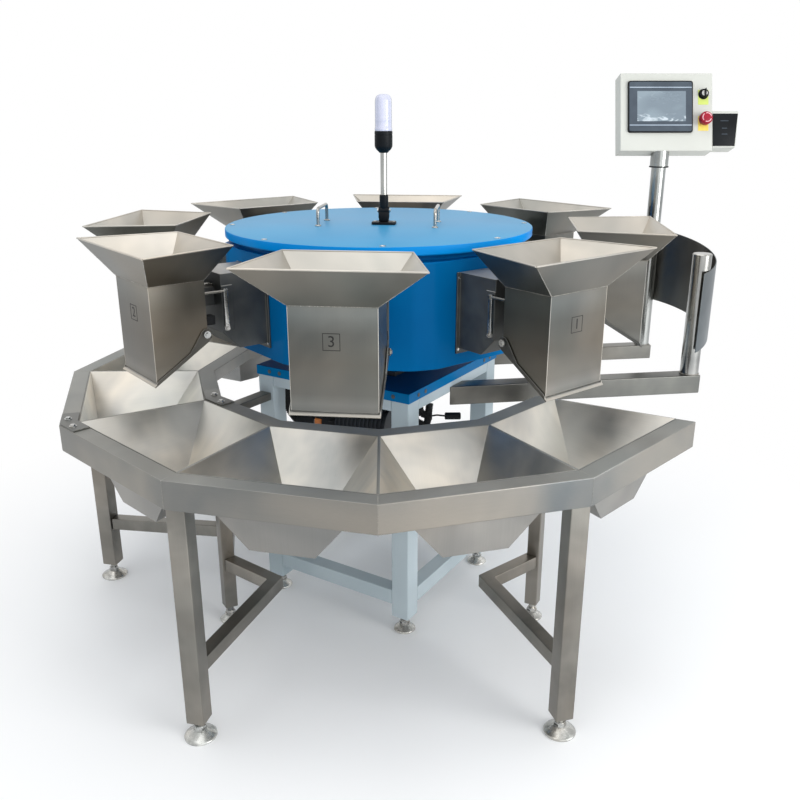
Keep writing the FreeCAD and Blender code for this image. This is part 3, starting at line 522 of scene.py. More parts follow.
class Tree(Wiring):
    family = "GeometryNode"

    def __init__(self, name, inputs, carry=lineMesh):
        super().__init__(bpy.data.node_groups.new(name, "GeometryNodeTree"))
        self.carry = carry
        sockets = self.tree.interface
        sockets.new_socket("Geometry", in_out="INPUT", socket_type="NodeSocketGeometry")
        self.names = []
        for label, value in {**inputs, "Material": None}.items():
            kind = {int: "NodeSocketInt", float: "NodeSocketFloat"}.get(type(value), "NodeSocketMaterial")
            socket = sockets.new_socket(label, in_out="INPUT", socket_type=kind)
            if value is not None:
                socket.default_value = value
            self.names.append(socket.identifier)
        sockets.new_socket("Geometry", in_out="OUTPUT", socket_type="NodeSocketGeometry")
        self.given = self.tree.nodes.new("NodeGroupInput")

    def value(self, label):
        return Wire(self, self.given.outputs[label])

    def round(self, sides, radius, depth, lift):
        solid = self.add("MeshCylinder", {"Vertices": sides, "Radius": radius, "Depth": depth})
        shift = self.add("ShaderNodeCombineXYZ", {2: lift})
        return self.add("Transform", {"Geometry": solid, "Translation": shift})

    def end(self, geometry):
        real = self.add("RealizeInstances", {"Geometry": geometry})
        painted = self.add("SetMaterial", {"Geometry": real, "Material": self.value("Material")})
        last = self.tree.nodes.new("NodeGroupOutput")
        self.tree.links.new(painted.socket, last.inputs[0])

    def alongLines(self):
        # the given lines, points spaced along them and each point's turn
        line = self.add("MeshToCurve", {"Mesh": self.value("Geometry")})
        spots = self.add("CurveToPoints", {"Curve": line, "Length": self.value("Pitch")}, {"mode": "LENGTH"})
        return line, spots, Wire(self, spots.socket.node.outputs["Rotation"])

    def bar(self, line, radius, sides):
        # a round bar along the lines
        ring = self.add("CurvePrimitiveCircle", {"Resolution": sides, "Radius": radius})
        return self.add("CurveToMesh", {
            "Curve": line, "Profile Curve": ring, "Fill Caps": True})

    def bake(self, name, given, body, material, sizes, angle=32):
        # sizes come in the order of the tree's own inputs
        carrier = linked(name + "Carrier", self.carry(given))
        modifier = carrier.modifiers.new(name, "NODES")
        modifier.node_group = self.tree
        for socket, value in zip(self.names, [*sizes, finishes[material]], strict=True):
            modifier[socket] = value
        placed(name, evaluated(carrier), body, material, angle=angle)


def fastenerTree(name, domed):
    # a head on its washer at each point, turned to the point's facing
    tree = Tree(name, {"Radius": 0.008, "Height": 0.005, "Washer": 0.0}, spotMesh)
    radius, height, washer = tree.value("Radius"), tree.value("Height"), tree.value("Washer")
    if domed:
        ball = tree.add("MeshUVSphere", {"Segments": 20, "Rings": 10, "Radius": radius})
        squash = tree.add("ShaderNodeCombineXYZ", {0: 1.0, 1: 1.0, 2: height / radius})
        head = tree.add("Transform", {"Geometry": ball, "Scale": squash})
    else:
        lower = tree.round(6, radius, height * 0.8, height * 0.4)
        crown = tree.round(24, radius * 0.82, height, height * 0.5)
        head = tree.add("JoinGeometry", {0: [lower, crown]})
    plate = tree.round(24, washer, 0.0014, 0.0006)
    fastener = tree.add("JoinGeometry", {0: [head, plate]})
    facing = tree.add("InputNamedAttribute", {"Name": "facing"}, {"data_type": "FLOAT_VECTOR"})
    turn = tree.add("FunctionNodeAlignRotationToVector", {"Vector": facing}, {"axis": "Z"})
    tree.end(tree.add("InstanceOnPoints", {
        "Points": tree.value("Geometry"), "Instance": fastener, "Rotation": turn}))
    return tree


def ribTree(name):
    # discs threaded on a core along each line
    tree = Tree(name, {"Radius": 0.012, "Core": 0.009, "Pitch": 0.006, "Fill": 0.5})
    line, spots, turn = tree.alongLines()
    disc = tree.add("MeshCylinder", {
        "Vertices": 20, "Radius": tree.value("Radius"), "Depth": tree.value("Pitch") * tree.value("Fill")})
    ribs = tree.add("InstanceOnPoints", {"Points": spots, "Instance": disc, "Rotation": turn})
    core = tree.bar(line, tree.value("Core"), 16)
    tree.end(tree.add("JoinGeometry", {0: [ribs, core]}))
    return tree


def beadTree(name):
    # overlapping weld ripples along each line
    tree = Tree(name, {"Radius": 0.002, "Pitch": 0.002})
    line, spots, turn = tree.alongLines()
    ripple = tree.add("MeshIcoSphere", {"Radius": tree.value("Radius"), "Subdivisions": 1})
    size = tree.add("FunctionNodeRandomValue", {2: 0.8, 3: 1.15, "Seed": 4}, {"data_type": "FLOAT"}, out=1)
    tree.end(tree.add("InstanceOnPoints", {
        "Points": spots, "Instance": ripple, "Rotation": turn, "Scale": size}))
    return tree


def rodTree(name):
    tree = Tree(name, {"Radius": 0.002})
    line = tree.add("MeshToCurve", {"Mesh": tree.value("Geometry")})
    tree.end(tree.bar(line, tree.value("Radius"), 10))
    return tree


hexBolts = fastenerTree("hexBolts", False)
domeScrews = fastenerTree("domeScrews", True)
ribs = ribTree("ribs")
weldBeads = beadTree("weldBeads")
roundRods = rodTree("roundRods")


def turned(degrees, axis="Z"):
    return Matrix.Rotation(math.radians(degrees), 4, axis)


def moved(x=0.0, y=0.0, z=0.0):
    return Matrix.Translation((x, y, z))


def polar(reach, degrees, height):
    turn = math.radians(degrees)
    return Vector((reach * math.sin(turn), -reach * math.cos(turn), height))


def extent(places):
    # the lowest and the highest corner around some places
    return [Vector([pick(place[i] for place in places) for i in range(3)]) for pick in (min, max)]


def localBox(node, frameAt):
    # a node's low and high corner, middle and size in another frame
    inward = frameAt.inverted()
    low, high = extent([inward @ vert.co for vert in nodes[node].data.vertices])
    return low, high, (low + high) / 2, high - low


def islands(node):
    # the extent of each separate part of a node
    shape = bmesh.new()
    shape.from_mesh(nodes[node].data)
    bmesh.ops.remove_doubles(shape, verts=shape.verts, dist=1e-5)
    left, boxes = set(shape.verts), []
    while left:
        edge, part = [left.pop()], []
        while edge:
            vert = edge.pop()
            part.append(vert.co.copy())
            near = {link.other_vert(vert) for link in vert.link_edges} & left
            left -= near
            edge.extend(near)
        boxes.append(extent(part))
    shape.free()
    return boxes


def nearestTurn(place, first, step):
    # the nearest of a row of even angles to a place
    angle = math.degrees(math.atan2(place.x, -place.y))
    return first + step * round((angle - first) / step)


def sign(side, x, y=0.0, z=0.0):
    # a vector whose x is mirrored for the left side
    return Vector((side * x, y, z))


pivots = [joints[f"flap_{index}_hinge"]["pos_m"] for index in range(1, 9)]
stations = [math.degrees(math.atan2(x, -y)) for x, y, z in pivots]
pinLevel = pivots[0][2]
restTurn = stations[0]
bayTurn = 97.5
headFrame = moved(0.95211, 0.31438, 1.422) @ turned(-18, "X")
cageFrame = turned(-33)
sides = (-1, 1)
print("makers and trees ready")


# eased CAD shapes, each face with the finish that its side takes; where these are lighter and darker copies of one
# steel or paint, they are painted light and shade

facing = {
    "hopper": 0.726, "chute": 0.79, "guard": 0.814, "flapLip": 0.8985, "steep": 0.7,
    "plateDepth": -0.0327, "plateMiddle": 0.135, "plateHalf": 0.018, "plateSplit": 0.145,
}


def outer(place, normal, reach, turn):
    # 0 for a face that looks towards the middle line of its hollow, else 1
    return 0 if (polar(reach, turn, place.z) - place).dot(normal) > 0 else 1


def hopperSide(place, normal):
    return outer(place, normal, facing["hopper"], nearestTurn(place, restTurn, 45))


def flapSide(place, normal):
    along = turned(nearestTurn(place, restTurn, 45)).to_3x3() @ Vector((1, 0, 0))
    if abs(along.dot(normal)) > 0.8:
        return 1
    # faces below the lip level take the lighter hopper steel: a painted highlight along the flap's lip
    return 2 if place.z < facing["flapLip"] else 0


def chuteSide(place, normal):
    return 2 if normal.z > facing["steep"] else outer(place, normal, facing["chute"], nearestTurn(place, 15, 30))


def guardSide(place, normal):
    return outer(place, normal, facing["guard"], bayTurn)


# 0 for a face that looks up: the tops take the lit copy of rail and bracket steel and the shaded copy of the cover's
#                             paint
def upward(place, normal):
    return 0 if normal.z > facing["steep"] else 1


def caseSide(place, normal):
    # the front of the box carries a yellow and a lime plate behind the buttons
    spot = headFrame.inverted() @ place
    if spot.y > facing["plateDepth"] or abs(spot.x - facing["plateMiddle"]) > facing["plateHalf"]:
        return 0
    return 1 if spot.z < facing["plateSplit"] else 2


# finishes, how a face picks one, the width of the ease, and the nodes
eased = [
    ("railTop rail", upward, 0.0025, "front_rail rear_rail"),
    ("railTop rail", upward, 0.002, "front_inner_bar rear_inner_bar"),
    ("chuteIn chuteOut railTop", chuteSide, 0.0008, "front_chutes rear_chutes"),
    ("upright", None, 0.003, "table_legs"),
    ("upright", None, 0.0025, "leg_braces"),
    ("level", None, 0.001, "splice_plates"),
    ("level", None, 0.002, "tie_bar"),
    ("level", None, 0.003, "bay_arms"),
    ("frame", None, 0.004, "frame_posts"),
    ("frame", None, 0.003, "frame_rails"),
    ("coverTop cover", upward, 0.002, "base_cover"),
    ("case yellow lime", caseSide, 0.0012, "control_box"),
    ("case", None, 0.004, "label_printer"),
    ("guardIn guardOut", guardSide, 0.001, "guard_sheet"),
    ("bracketTop bracket", upward, 0.0015, "weigh_brackets"),
    ("bright", None, 0.0015, "link_bars"),
    ("rubber", None, 0.003, "buffer_blocks"),
    ("hopperIn hopperOut", hopperSide, 0.0008, "hoppers"),
    ("drum", None, 0.003, "drum_shell"),
    ("machine", None, 0.003, "bearing_post"),
    ("machine", None, 0.002, "drive_unit"),
    ("flap ear hopperIn", flapSide, 0.0006, " ".join(f"flap_{index}" for index in range(1, 9))),
]
for materials, choose, width, names in eased:
    for name in names.split():
        softened(name, materials.split(), width, choose)

kept = {
    "guard_post": "polished", "screen_post": "polished", "hinge_pins": "bracket",
    "stop_button": "red", "key_switch": "black",
}
for name, material in kept.items():
    nodes[name].data.materials.clear()
    nodes[name].data.materials.append(finishes[material])
print("nodes eased")


# lid, handles and lamp; a screw or bolt is given by its radius, height and washer

lid = {
    "radius": 0.470, "low": 1.202, "top": 1.227, "ease": 0.003,
    "screwRing": 0.452, "screwTurn": 1.5, "screw": (0.006, 0.003, 0.0085),
    "gripSpread": 0.178, "gripHalf": 0.070, "gripRise": 0.052, "gripRadius": 0.005, "gripBend": 0.013,
    "gripFoot": [(0, 0), (0.0095, 0), (0.0095, 0.002), (0.007, 0.004), (0, 0.004)],
}


def lidDisc():
    r, low, top, e = lid["radius"], lid["low"], lid["top"], lid["ease"]
    outline = [(0, low), (r - e, low), (r, low + e), (r, top - e), (r - e * 0.3, top - e * 0.3), (r - e, top), (0, top)]
    disc = Mould().lathe(outline, 160).piece("lid_disc", "rotor", "lidRim", ["drum_lid"])
    # upward faces take the paler copy: painted light on the lid's top
    disc.data.materials.append(finishes["lidTop"])
    for polygon in disc.data.polygons:
        polygon.material_index = 1 if polygon.normal.z > 0.4 else 0
    spots = [(polar(lid["screwRing"], lid["screwTurn"] + 45 * i, top), (0, 0, 1)) for i in range(8)]
    domeScrews.bake("lid_screws", spots, "rotor", "bright", lid["screw"])


def lidGrips():
    grips = Mould(turned(restTurn))
    top, half = lid["top"], lid["gripHalf"]
    for side in sides:
        x = side * lid["gripSpread"]
        path = [(x, across, level) for across, level in (
            (-half, top), (-half, top + lid["gripRise"]), (half, top + lid["gripRise"]), (half, top))]
        grips.tube(bend(path, lid["gripBend"]), lid["gripRadius"], 18)
        for end in (-half, half):
            grips.lathe(lid["gripFoot"], 24, moved(x, end, top))
    grips.piece("lid_grips", "rotor", "polished", ["lid_handles"])


# heights of its parts above the floor, and outlines from each part's own foot
lamp = {
    "shift": 0.015, "plate": 1.227, "fork": 1.235, "knuckle": 1.269, "tube": 1.287, "socket": 1.439, "dome": 1.502,
    "plateSize": (0.074, 0.050, 0.010), "plateThick": 0.008, "plateEase": 0.0015,
    "heel": ((-0.015, -0.012, 0), (0.015, 0.012, 0.030), 0.003),
    "cheek": ((-0.0035, -0.011, 0.010), (0.0035, 0.011, 0.040), 0.002), "cheekShift": 0.0125,
    "pivot": [(0, -0.0165), (0.010, -0.0165), (0.0115, -0.015), (0.0115, 0.015), (0.010, 0.0165), (0, 0.0165)],
    "neck": [(0, 0.030), (0.009, 0.032), (0.0125, 0.046), (0.0135, 0.050), (0.0135, 0.078), (0.0115, 0.081),
             (0, 0.081)],
    "stem": [(0, 0), (0.010, 0), (0.010, 0.156), (0, 0.156)],
    "cup": [(0, 0), (0.0125, 0), (0.014, 0.002), (0.0215, 0.009), (0.025, 0.014), (0.027, 0.020), (0.027, 0.050),
            (0.0264, 0.0505), (0.0264, 0.0525), (0.027, 0.053), (0.027, 0.061), (0.0255, 0.063), (0, 0.063)],
    "glass": [(0, 0), (0.0255, 0), (0.0262, 0.002), (0.0262, 0.008), (0.0252, 0.010), (0.0252, 0.028),
              (0.0256, 0.030), (0.0252, 0.032), (0.025, 0.084), (0.0238, 0.092), (0.020, 0.099), (0.012, 0.103),
              (0, 0.104)],
    "screwShift": 0.028, "screw": (0.0045, 0.0025, 0.006), "boltShift": 0.0165, "bolt": (0.006, 0.004, 0.007),
}


def beacon():
    at = turned(restTurn) @ moved(lamp["shift"])
    fork, knuckle = moved(z=lamp["fork"]), moved(z=lamp["knuckle"])
    base = Mould(at).block(*lamp["heel"], fork)
    base.plate(roundedCorners(*lamp["plateSize"]), lamp["plateThick"], lamp["plateEase"], moved(z=lamp["plate"]))
    for side in sides:
        base.block(*lamp["cheek"], fork @ moved(side * lamp["cheekShift"]))
    base.lathe(lamp["pivot"], 28, knuckle @ turned(90, "Y")).lathe(lamp["neck"], 32, fork)
    base.piece("lamp_base", "rotor", "black")
    Mould(at).lathe(lamp["stem"], 28, moved(z=lamp["tube"])).piece("lamp_tube", "rotor", "polished", ["lamp_stem"])
    Mould(at).lathe(lamp["cup"], 40, moved(z=lamp["socket"])).piece("lamp_cup", "rotor", "black", ["lamp_socket"])
    Mould(at).lathe(lamp["glass"], 40, moved(z=lamp["dome"])).piece("lamp_glass", "rotor", "lamp", ["lamp_dome"], 50)
    spots = [(at @ sign(side, lamp["screwShift"], z=lamp["plate"] + lamp["plateThick"]), (0, 0, 1)) for side in sides]
    domeScrews.bake("lamp_screws", spots, "rotor", "bright", lamp["screw"])
    spots = [(at @ sign(side, lamp["boltShift"], z=lamp["knuckle"]), at.to_3x3() @ sign(side, 1)) for side in sides]
    hexBolts.bake("lamp_bolts", spots, "rotor", "bright", lamp["bolt"])


lidDisc()
lidGrips()
beacon()
print("lid and lamp made")


# weighing stations: a mouth or throat is a reach and a half width, a weld a radius and a pitch

hopper = {
    "mouth": 1.236, "mouthIn": (0.589, 0.164), "mouthOut": (0.856, 0.2215),
    "throat": 1.145, "throatIn": (0.650, 0.104), "throatOut": (0.802, 0.104), "tip": 0.897,
    "hem": 0.0022, "hemDrop": 0.001, "hemInset": 0.002, "fold": 0.0009, "foldInset": 0.0006,
    "foldDrop": 0.002, "seam": (0.0014, 0.0035), "seamInset": 0.0004, "seamEnds": (0.03, 0.98),
    "figure": 0.037, "figureDepth": 0.0003, "figureAt": (-0.004, -0.802, 1.063), "square": 0.041, "line": 0.0016,
}
figures = "31876542"


def corners(inside, outside, height, shrink):
    (near, nearHalf), (far, farHalf) = inside, outside
    return [Vector((x, -y, height)) for x, y in (
        (-nearHalf + shrink, near + shrink), (nearHalf - shrink, near + shrink),
        (farHalf - shrink, far - shrink), (-farHalf + shrink, far - shrink))]


def loop(points):
    # the sides of a closed outline
    return [[a, b] for a, b in zip(points, points[1:] + points[:1])]


def hopperEdges():
    hems, seams, folds = [], [], []
    levels = (hopper["tip"], hopper["throat"] - hopper["foldDrop"])
    reach, half = (size - hopper["foldInset"] for size in hopper["throatOut"])
    for turn in stations:
        at = turned(turn)
        mouth = [at @ c for c in corners(
            hopper["mouthIn"], hopper["mouthOut"], hopper["mouth"] - hopper["hemDrop"], hopper["hemInset"])]
        throat = [at @ c for c in corners(
            hopper["throatIn"], hopper["throatOut"], hopper["throat"], hopper["seamInset"])]
        hems += loop(mouth)
        seams += loop(throat)
        seams += [[a.lerp(b, share) for share in hopper["seamEnds"]] for a, b in zip(throat, mouth)]
        folds += [[at @ sign(side, half, -reach, level) for level in levels] for side in sides]
    roundRods.bake("mouth_hems", hems, "rotor", "hopperIn", [hopper["hem"]], 60)
    # thin rods on each throat's outer corners in the lighter steel: a fold edge with a painted highlight
    roundRods.bake("throat_folds", folds, "rotor", "hopperIn", [hopper["fold"]], 60)
    weldBeads.bake("throat_seams", seams, "rotor", "weld", hopper["seam"], 60)


def hopperFigures():
    # a number in a square on each hopper's outer face
    marks = Mould()
    half, line, depth = hopper["square"] / 2, hopper["line"], hopper["figureDepth"]
    for turn, figure in zip(stations, figures):
        at = turned(turn) @ moved(*hopper["figureAt"]) @ turned(90, "X")
        marks.letters(figure, hopper["figure"], depth, at)
        for quarter in range(4):
            marks.block((-half, half - line, -depth), (half, half, depth), at=at @ turned(90 * quarter))
    marks.piece("hopper_figures", "rotor", "ink")


# places on a station turned to the front: half widths, reaches and levels
station = {
    "flangeAt": (0.080, 0.456), "flangeLevels": (0.938, 1.136), "flangeBolt": (0.0038, 0.003, 0.0044),
    "linkAt": (0.088, 0.582), "linkLevels": (1.004, 1.106), "linkBolt": (0.0052, 0.004, 0.0058),
    "pinNut": (0.0062, 0.0045, 0.0098),
    "rodReach": (0.588, 0.651), "rodsAt": ((0.0855, 1.106), (0.026, 1.118)), "rod": (0.0042, 0.0036, 0.0025, 0.5),
}


def stationFasteners():
    ownPins = [turned(-restTurn) @ vert.co for vert in nodes["hinge_pins"].data.vertices
               if nearestTurn(vert.co, restTurn, 45) == restTurn]
    pinEnd = max(place.x for place in ownPins)
    pinAcross = sum(place.y for place in ownPins) / len(ownPins)
    flangeHalf, flangeReach = station["flangeAt"]
    linkHalf, linkReach = station["linkAt"]
    flange, link, rod, pins = [], [], [], []
    for turn in stations:
        at = turned(turn)
        face = at.to_3x3()
        for side in sides:
            out = face @ sign(side, 1)
            flange += [(at @ sign(side, flangeHalf, -flangeReach, level), face @ Vector((0, -1, 0)))
                       for level in station["flangeLevels"]]
            pins.append((at @ sign(side, pinEnd, pinAcross, pinLevel), out))
            link += [(at @ sign(side, linkHalf, -linkReach, level), out) for level in station["linkLevels"]]
            rod += [[at @ sign(side, half, -reach, level) for reach in station["rodReach"]]
                    for half, level in station["rodsAt"]]
    hexBolts.bake("flange_bolts", flange, "rotor", "bright", station["flangeBolt"])
    hexBolts.bake("pin_nuts", pins, "rotor", "bright", station["pinNut"])
    hexBolts.bake("link_bolts", link, "rotor", "bright", station["linkBolt"])
    ribs.bake("link_rods", rod, "rotor", "polished", station["rod"])


hopperEdges()
hopperFigures()
stationFasteners()
print("weighing stations dressed")


# table: weld lines, chute ridges, splice bolts and feet

table = {
    "top": 0.755, "rail": 0.075, "corner": 1.0, "width": 0.050, "innerBar": 0.594,
    "turns": (-150, -120, -90, -30, 0, 30), "bead": (0.0008, 0.003), "ridge": 0.0017, "ridgeDrop": 0.0008,
    "splice": 0.005, "spliceBolts": [(-0.8530, -0.4645), (-0.8205, -0.5205), (-0.493, -0.261), (-0.461, -0.325)],
    "spliceBolt": (0.0075, 0.0055, 0.010),
    "coverLevel": 0.785, "coverBolts": (-0.23, -0.19, 0.19, 0.23), "coverScrew": (0.0048, 0.0026, 0.0062),
}


def tableWelds():
    top, low = table["top"], table["top"] - table["rail"]
    ridge = top - table["ridgeDrop"]
    inside = table["corner"] - table["width"] / math.cos(math.radians(15))
    lines = [[polar(table["corner"], turn, low), polar(table["corner"], turn, top), polar(inside, turn, top)]
             for turn in table["turns"]]
    weldBeads.bake("rail_welds", lines, "stand", "weld", table["bead"], 60)
    # thin rods along the ridges between chutes in the lighter top steel: a fold edge with a painted highlight
    ridges = [[polar(reach, turn, ridge) for reach in (inside, table["innerBar"])] for turn in table["turns"]]
    roundRods.bake("ridge_folds", ridges, "stand", "railTop", [table["ridge"]], 60)


# outline of a foot: steps from its radius, shares of its radius, then its neck and stem
foot = {
    "rim": [(-0.0012, 0), (0, 0.0015), (0, 0.0042), (-0.0018, 0.0062)],
    "slope": [(0.86, 0.0085), (0.66, 0.0138), (0.47, 0.0195)],
    "neck": [(0.0165, 0.0228), (0.0132, 0.0240), (0.009, 0.0242), (0.009, 0.056), (0, 0.056)],
    "nutLevel": 0.0245, "nut": (0.0155, 0.011, 0.017), "stem": (0.024, 0.056), "thread": (0.0098, 0.0093, 0.003, 0.5),
}


def feet():
    nuts, stems = [], []
    bells = Mould()
    for low, high in islands("levelling_feet"):
        x, y, r = (low.x + high.x) / 2, (low.y + high.y) / 2, (high.x - low.x) / 2
        rim = [(r + step, height) for step, height in foot["rim"]]
        slope = [(r * share, height) for share, height in foot["slope"]]
        bells.lathe([(0, 0), *rim, *slope, *foot["neck"]], 44, moved(x, y))
        nuts.append(((x, y, foot["nutLevel"]), (0, 0, 1)))
        stems.append([(x, y, level) for level in foot["stem"]])
    bells.piece("foot_bells", "stand", "bell", ["levelling_feet"], 50)
    hexBolts.bake("feet_nuts", nuts, "stand", "bright", foot["nut"])
    ribs.bake("feet_threads", stems, "stand", "polished", foot["thread"])


def tableBolts():
    spots = [((x, y, table["top"] + table["splice"]), (0, 0, 1)) for x, y in table["spliceBolts"]]
    hexBolts.bake("splice_bolts", spots, "stand", "bright", table["spliceBolt"])
    front = localBox("base_cover", cageFrame)[0].y
    faces = [(cageFrame @ turned(90 * quarter)).to_3x3() for quarter in range(4)]
    spots = [(face @ Vector((across, front, table["coverLevel"])), face @ Vector((0, -1, 0)))
             for face in faces for across in table["coverBolts"]]
    domeScrews.bake("cover_screws", spots, "stand", "bracket", table["coverScrew"])


tableWelds()
feet()
tableBolts()
print("table dressed")


# drive under the cover: a box is two corners and an ease, a hose a path and a bend,
# and ribs are a radius, a core, a pitch and how much of it they fill

drive = {
    "motor": [(0, -0.105, 0.740), (0, -0.222, 0.740)], "motorFins": (0.0565, 0.0515, 0.011, 0.35),
    "brake": [(-0.115, -0.205, 0.652), (0.030, -0.262, 0.652)], "brakeFins": (0.058, 0.053, 0.012, 0.35),
    "terminals": [((0.050, -0.190, 0.715), (0.088, -0.120, 0.762), 0.004),
                  ((-0.090, -0.180, 0.700), (-0.052, -0.110, 0.744), 0.004)],
    "wireEnds": [((-0.205, -0.182, 0.628), (-0.182, -0.160, 0.652), 0.003),
                 ((-0.163, -0.195, 0.636), (-0.150, -0.180, 0.648), 0.002)],
    "connectors": [((-0.262, -0.170, 0.600), (-0.208, -0.130, 0.655), 0.006),
                   ((-0.182, -0.200, 0.610), (-0.130, -0.160, 0.668), 0.006)],
    "plug": [(0, 0), (0.009, 0), (0.011, 0.002), (0.011, 0.046), (0.009, 0.048), (0, 0.048)],
    "plugAt": (0.196, -0.250, 0.684),
    "hoses": [
        ([(-0.288, -0.120, 0.735), (-0.290, -0.122, 0.660), (-0.262, -0.140, 0.630), (-0.220, -0.150, 0.628)], 0.018),
        ([(0.098, -0.235, 0.735), (0.108, -0.250, 0.668), (0.142, -0.252, 0.650), (0.150, -0.240, 0.720)], 0.010),
        ([(0.114, -0.225, 0.738), (0.124, -0.240, 0.690), (0.150, -0.250, 0.684), (0.156, -0.250, 0.684)], 0.006),
    ],
    "hose": (0.0115, 0.0095, 0.0045, 0.5),
    "lead": [(0.152, -0.250, 0.684), (0.172, -0.252, 0.688), (0.200, -0.250, 0.684)],
    "wireShifts": (0, 0.006, 0.012, 0.018), "wireBend": 0.02, "wire": 0.0026,
}


def driveWiring():
    motor = [[cageFrame @ Vector(place) for place in drive["motor"]]]
    ribs.bake("motor_fins", motor, "stand", "machine", drive["motorFins"])
    ribs.bake("brake_fins", [drive["brake"]], "stand", "machine", drive["brakeFins"])
    Mould(cageFrame).blocks(drive["terminals"]).piece("terminal_boxes", "stand", "black")
    Mould().blocks(drive["wireEnds"]).piece("wire_ends", "stand", "copper")
    plugs = Mould().blocks(drive["connectors"])
    plugs.lathe(drive["plug"], 24, moved(*drive["plugAt"]) @ turned(90, "Y")).piece("connectors", "stand", "black")
    hoses = [bend(path, radius) for path, radius in drive["hoses"]]
    ribs.bake("conduit", hoses, "stand", "rubber", drive["hose"])
    leads = [drive["lead"]]
    for shift in drive["wireShifts"]:
        leads.append([(-0.215, -0.150 + shift / 2, 0.640 + shift), (-0.196, -0.176, 0.655 + shift / 3),
                      (-0.150, -0.186 - shift, 0.640 + shift / 2), (-0.110, -0.190, 0.650 + shift)])
    wires = [bend(path, drive["wireBend"]) for path in leads]
    roundRods.bake("wires", wires, "stand", "rubber", [drive["wire"]], 60)


driveWiring()
print("drive dressed")


# control head

panel = {
    "corner": 0.008, "thick": 0.0078, "ease": 0.0015,
    "faceInset": 0.008, "faceCorner": 0.006, "faceThick": 0.0004, "faceSunk": 0.0002,
    "filmCorner": 0.0015, "filmThick": 0.0008, "filmSunk": 0.0003,
    "lineInset": 0.005, "lineHalf": 0.0014, "lineThick": 0.0005, "lineDrop": 0.0225, "lineRise": 0.024,
}
printer = {
    "left": 0.002, "low": 0.005, "top": 0.010, "rightLow": 0.016, "rightTop": 0.005, "thick": 0.003, "ease": 0.001,
    "markMiddle": 0.45, "marks": ((0.72, 0.028), (0.52, 0.018), (0.36, 0.020)),
    "markTall": 0.0018, "markCorner": 0.0008, "markThick": 0.0032,
}
door = {
    "inset": 0.020, "corner": 0.006, "thick": 0.002, "ease": 0.0008, "sunk": 0.0004,
    "screwInset": 0.020, "screwLift": 0.0018, "screw": (0.004, 0.0022, 0.0055),
}
collar = {"level": 1.376, "outline": [(0.0295, 0), (0.0322, 0.0008), (0.0322, 0.0042), (0.0295, 0.005)]}


def flatAt(x, y, z):
    # a plate lying on the head's front, its outline in x and z
    return headFrame @ moved(x, y, z) @ turned(90, "X")


def screenPanel():
    low, high, mid, size = localBox("screen_panel", headFrame)
    outline = roundedCorners(size.x, size.z, panel["corner"])
    Mould(flatAt(mid.x, high.y, mid.z)).plate(outline, panel["thick"], panel["ease"]).piece(
        "panel_frame", "stand", "black", ["screen_panel"])
    outline = roundedCorners(size.x - panel["faceInset"], size.z - panel["faceInset"], panel["faceCorner"])
    Mould(flatAt(mid.x, low.y + panel["faceSunk"], mid.z)).plate(outline, panel["faceThick"]).piece(
        "panel_face", "stand", "slate")
    glassMid, glass = localBox("screen_glass", headFrame)[2:]
    outline = roundedCorners(glass.x, glass.z, panel["filmCorner"])
    Mould(flatAt(glassMid.x, low.y + panel["filmSunk"], glassMid.z)).plate(outline, panel["filmThick"]).piece(
        "screen_film", "stand", "film", ["screen_glass"])
    lines = Mould(headFrame)
    for level in (high.z - panel["lineDrop"], low.z + panel["lineRise"]):
        lines.block((low.x + panel["lineInset"], low.y - panel["lineThick"], level - panel["lineHalf"]),
                    (high.x - panel["lineInset"], low.y, level + panel["lineHalf"]))
    lines.piece("panel_lines", "stand", "paleLine")


def printerFront():
    low, high, mid, size = localBox("label_printer", headFrame)
    base, top = printer["low"], size.z - printer["top"]
    outline = [(printer["left"], base), (size.x - printer["rightLow"], base), (size.x - printer["rightTop"], top),
               (printer["left"], top)]
    Mould(flatAt(*low)).plate(outline, printer["thick"], printer["ease"]).piece("printer_face", "stand", "black")
    marks = Mould()
    for rise, wide in printer["marks"]:
        marks.plate(roundedCorners(wide, printer["markTall"], printer["markCorner"], 3), printer["markThick"],
                    at=flatAt(low.x + size.x * printer["markMiddle"], low.y, low.z + size.z * rise))
    marks.piece("printer_marks", "stand", "slate")


def boxBack():
    low, high, mid, size = localBox("control_box", headFrame)
    back = headFrame @ moved(mid.x, high.y - door["sunk"], mid.z) @ turned(-90, "X")
    outline = roundedCorners(size.x - door["inset"], size.z - door["inset"], door["corner"])
    Mould(back).plate(outline, door["thick"], door["ease"]).piece("box_door", "stand", "case")
    across, up = size.x / 2 - door["screwInset"], size.z / 2 - door["screwInset"]
    out = back.to_3x3() @ Vector((0, 0, 1))
    spots = [(back @ Vector((i * across, j * up, door["screwLift"])), out) for i in sides for j in sides]
    domeScrews.bake("door_screws", spots, "stand", "bright", door["screw"])
    mid = localBox("screen_post", Matrix())[2]
    Mould(moved(mid.x, mid.y, collar["level"])).lathe(collar["outline"], 40).piece(
        "collar_ring", "stand", "rubber", angle=50)


button = {
    "crown": [(0, 0), (0.0205, 0), (0.0200, 0.003), (0.0165, 0.0056), (0.010, 0.0072), (0.006, 0.0074), (0, 0.0074)],
    "arrowStarts": (10, 130, 250), "arrowStep": 9, "arrowPoints": 11,
    "arrowReach": 0.0142, "arrowLift": 0.0062, "arrowRadius": 0.0016,
    "keyDisc": [(0, 0), (0.0092, 0), (0.0092, 0.0012), (0.0080, 0.0018), (0, 0.0018)], "keyLift": 0.0143,
    "keyCollar": [(0.0145, 0), (0.0172, 0), (0.0168, 0.0035), (0.0155, 0.0045), (0.0145, 0.004)],
}


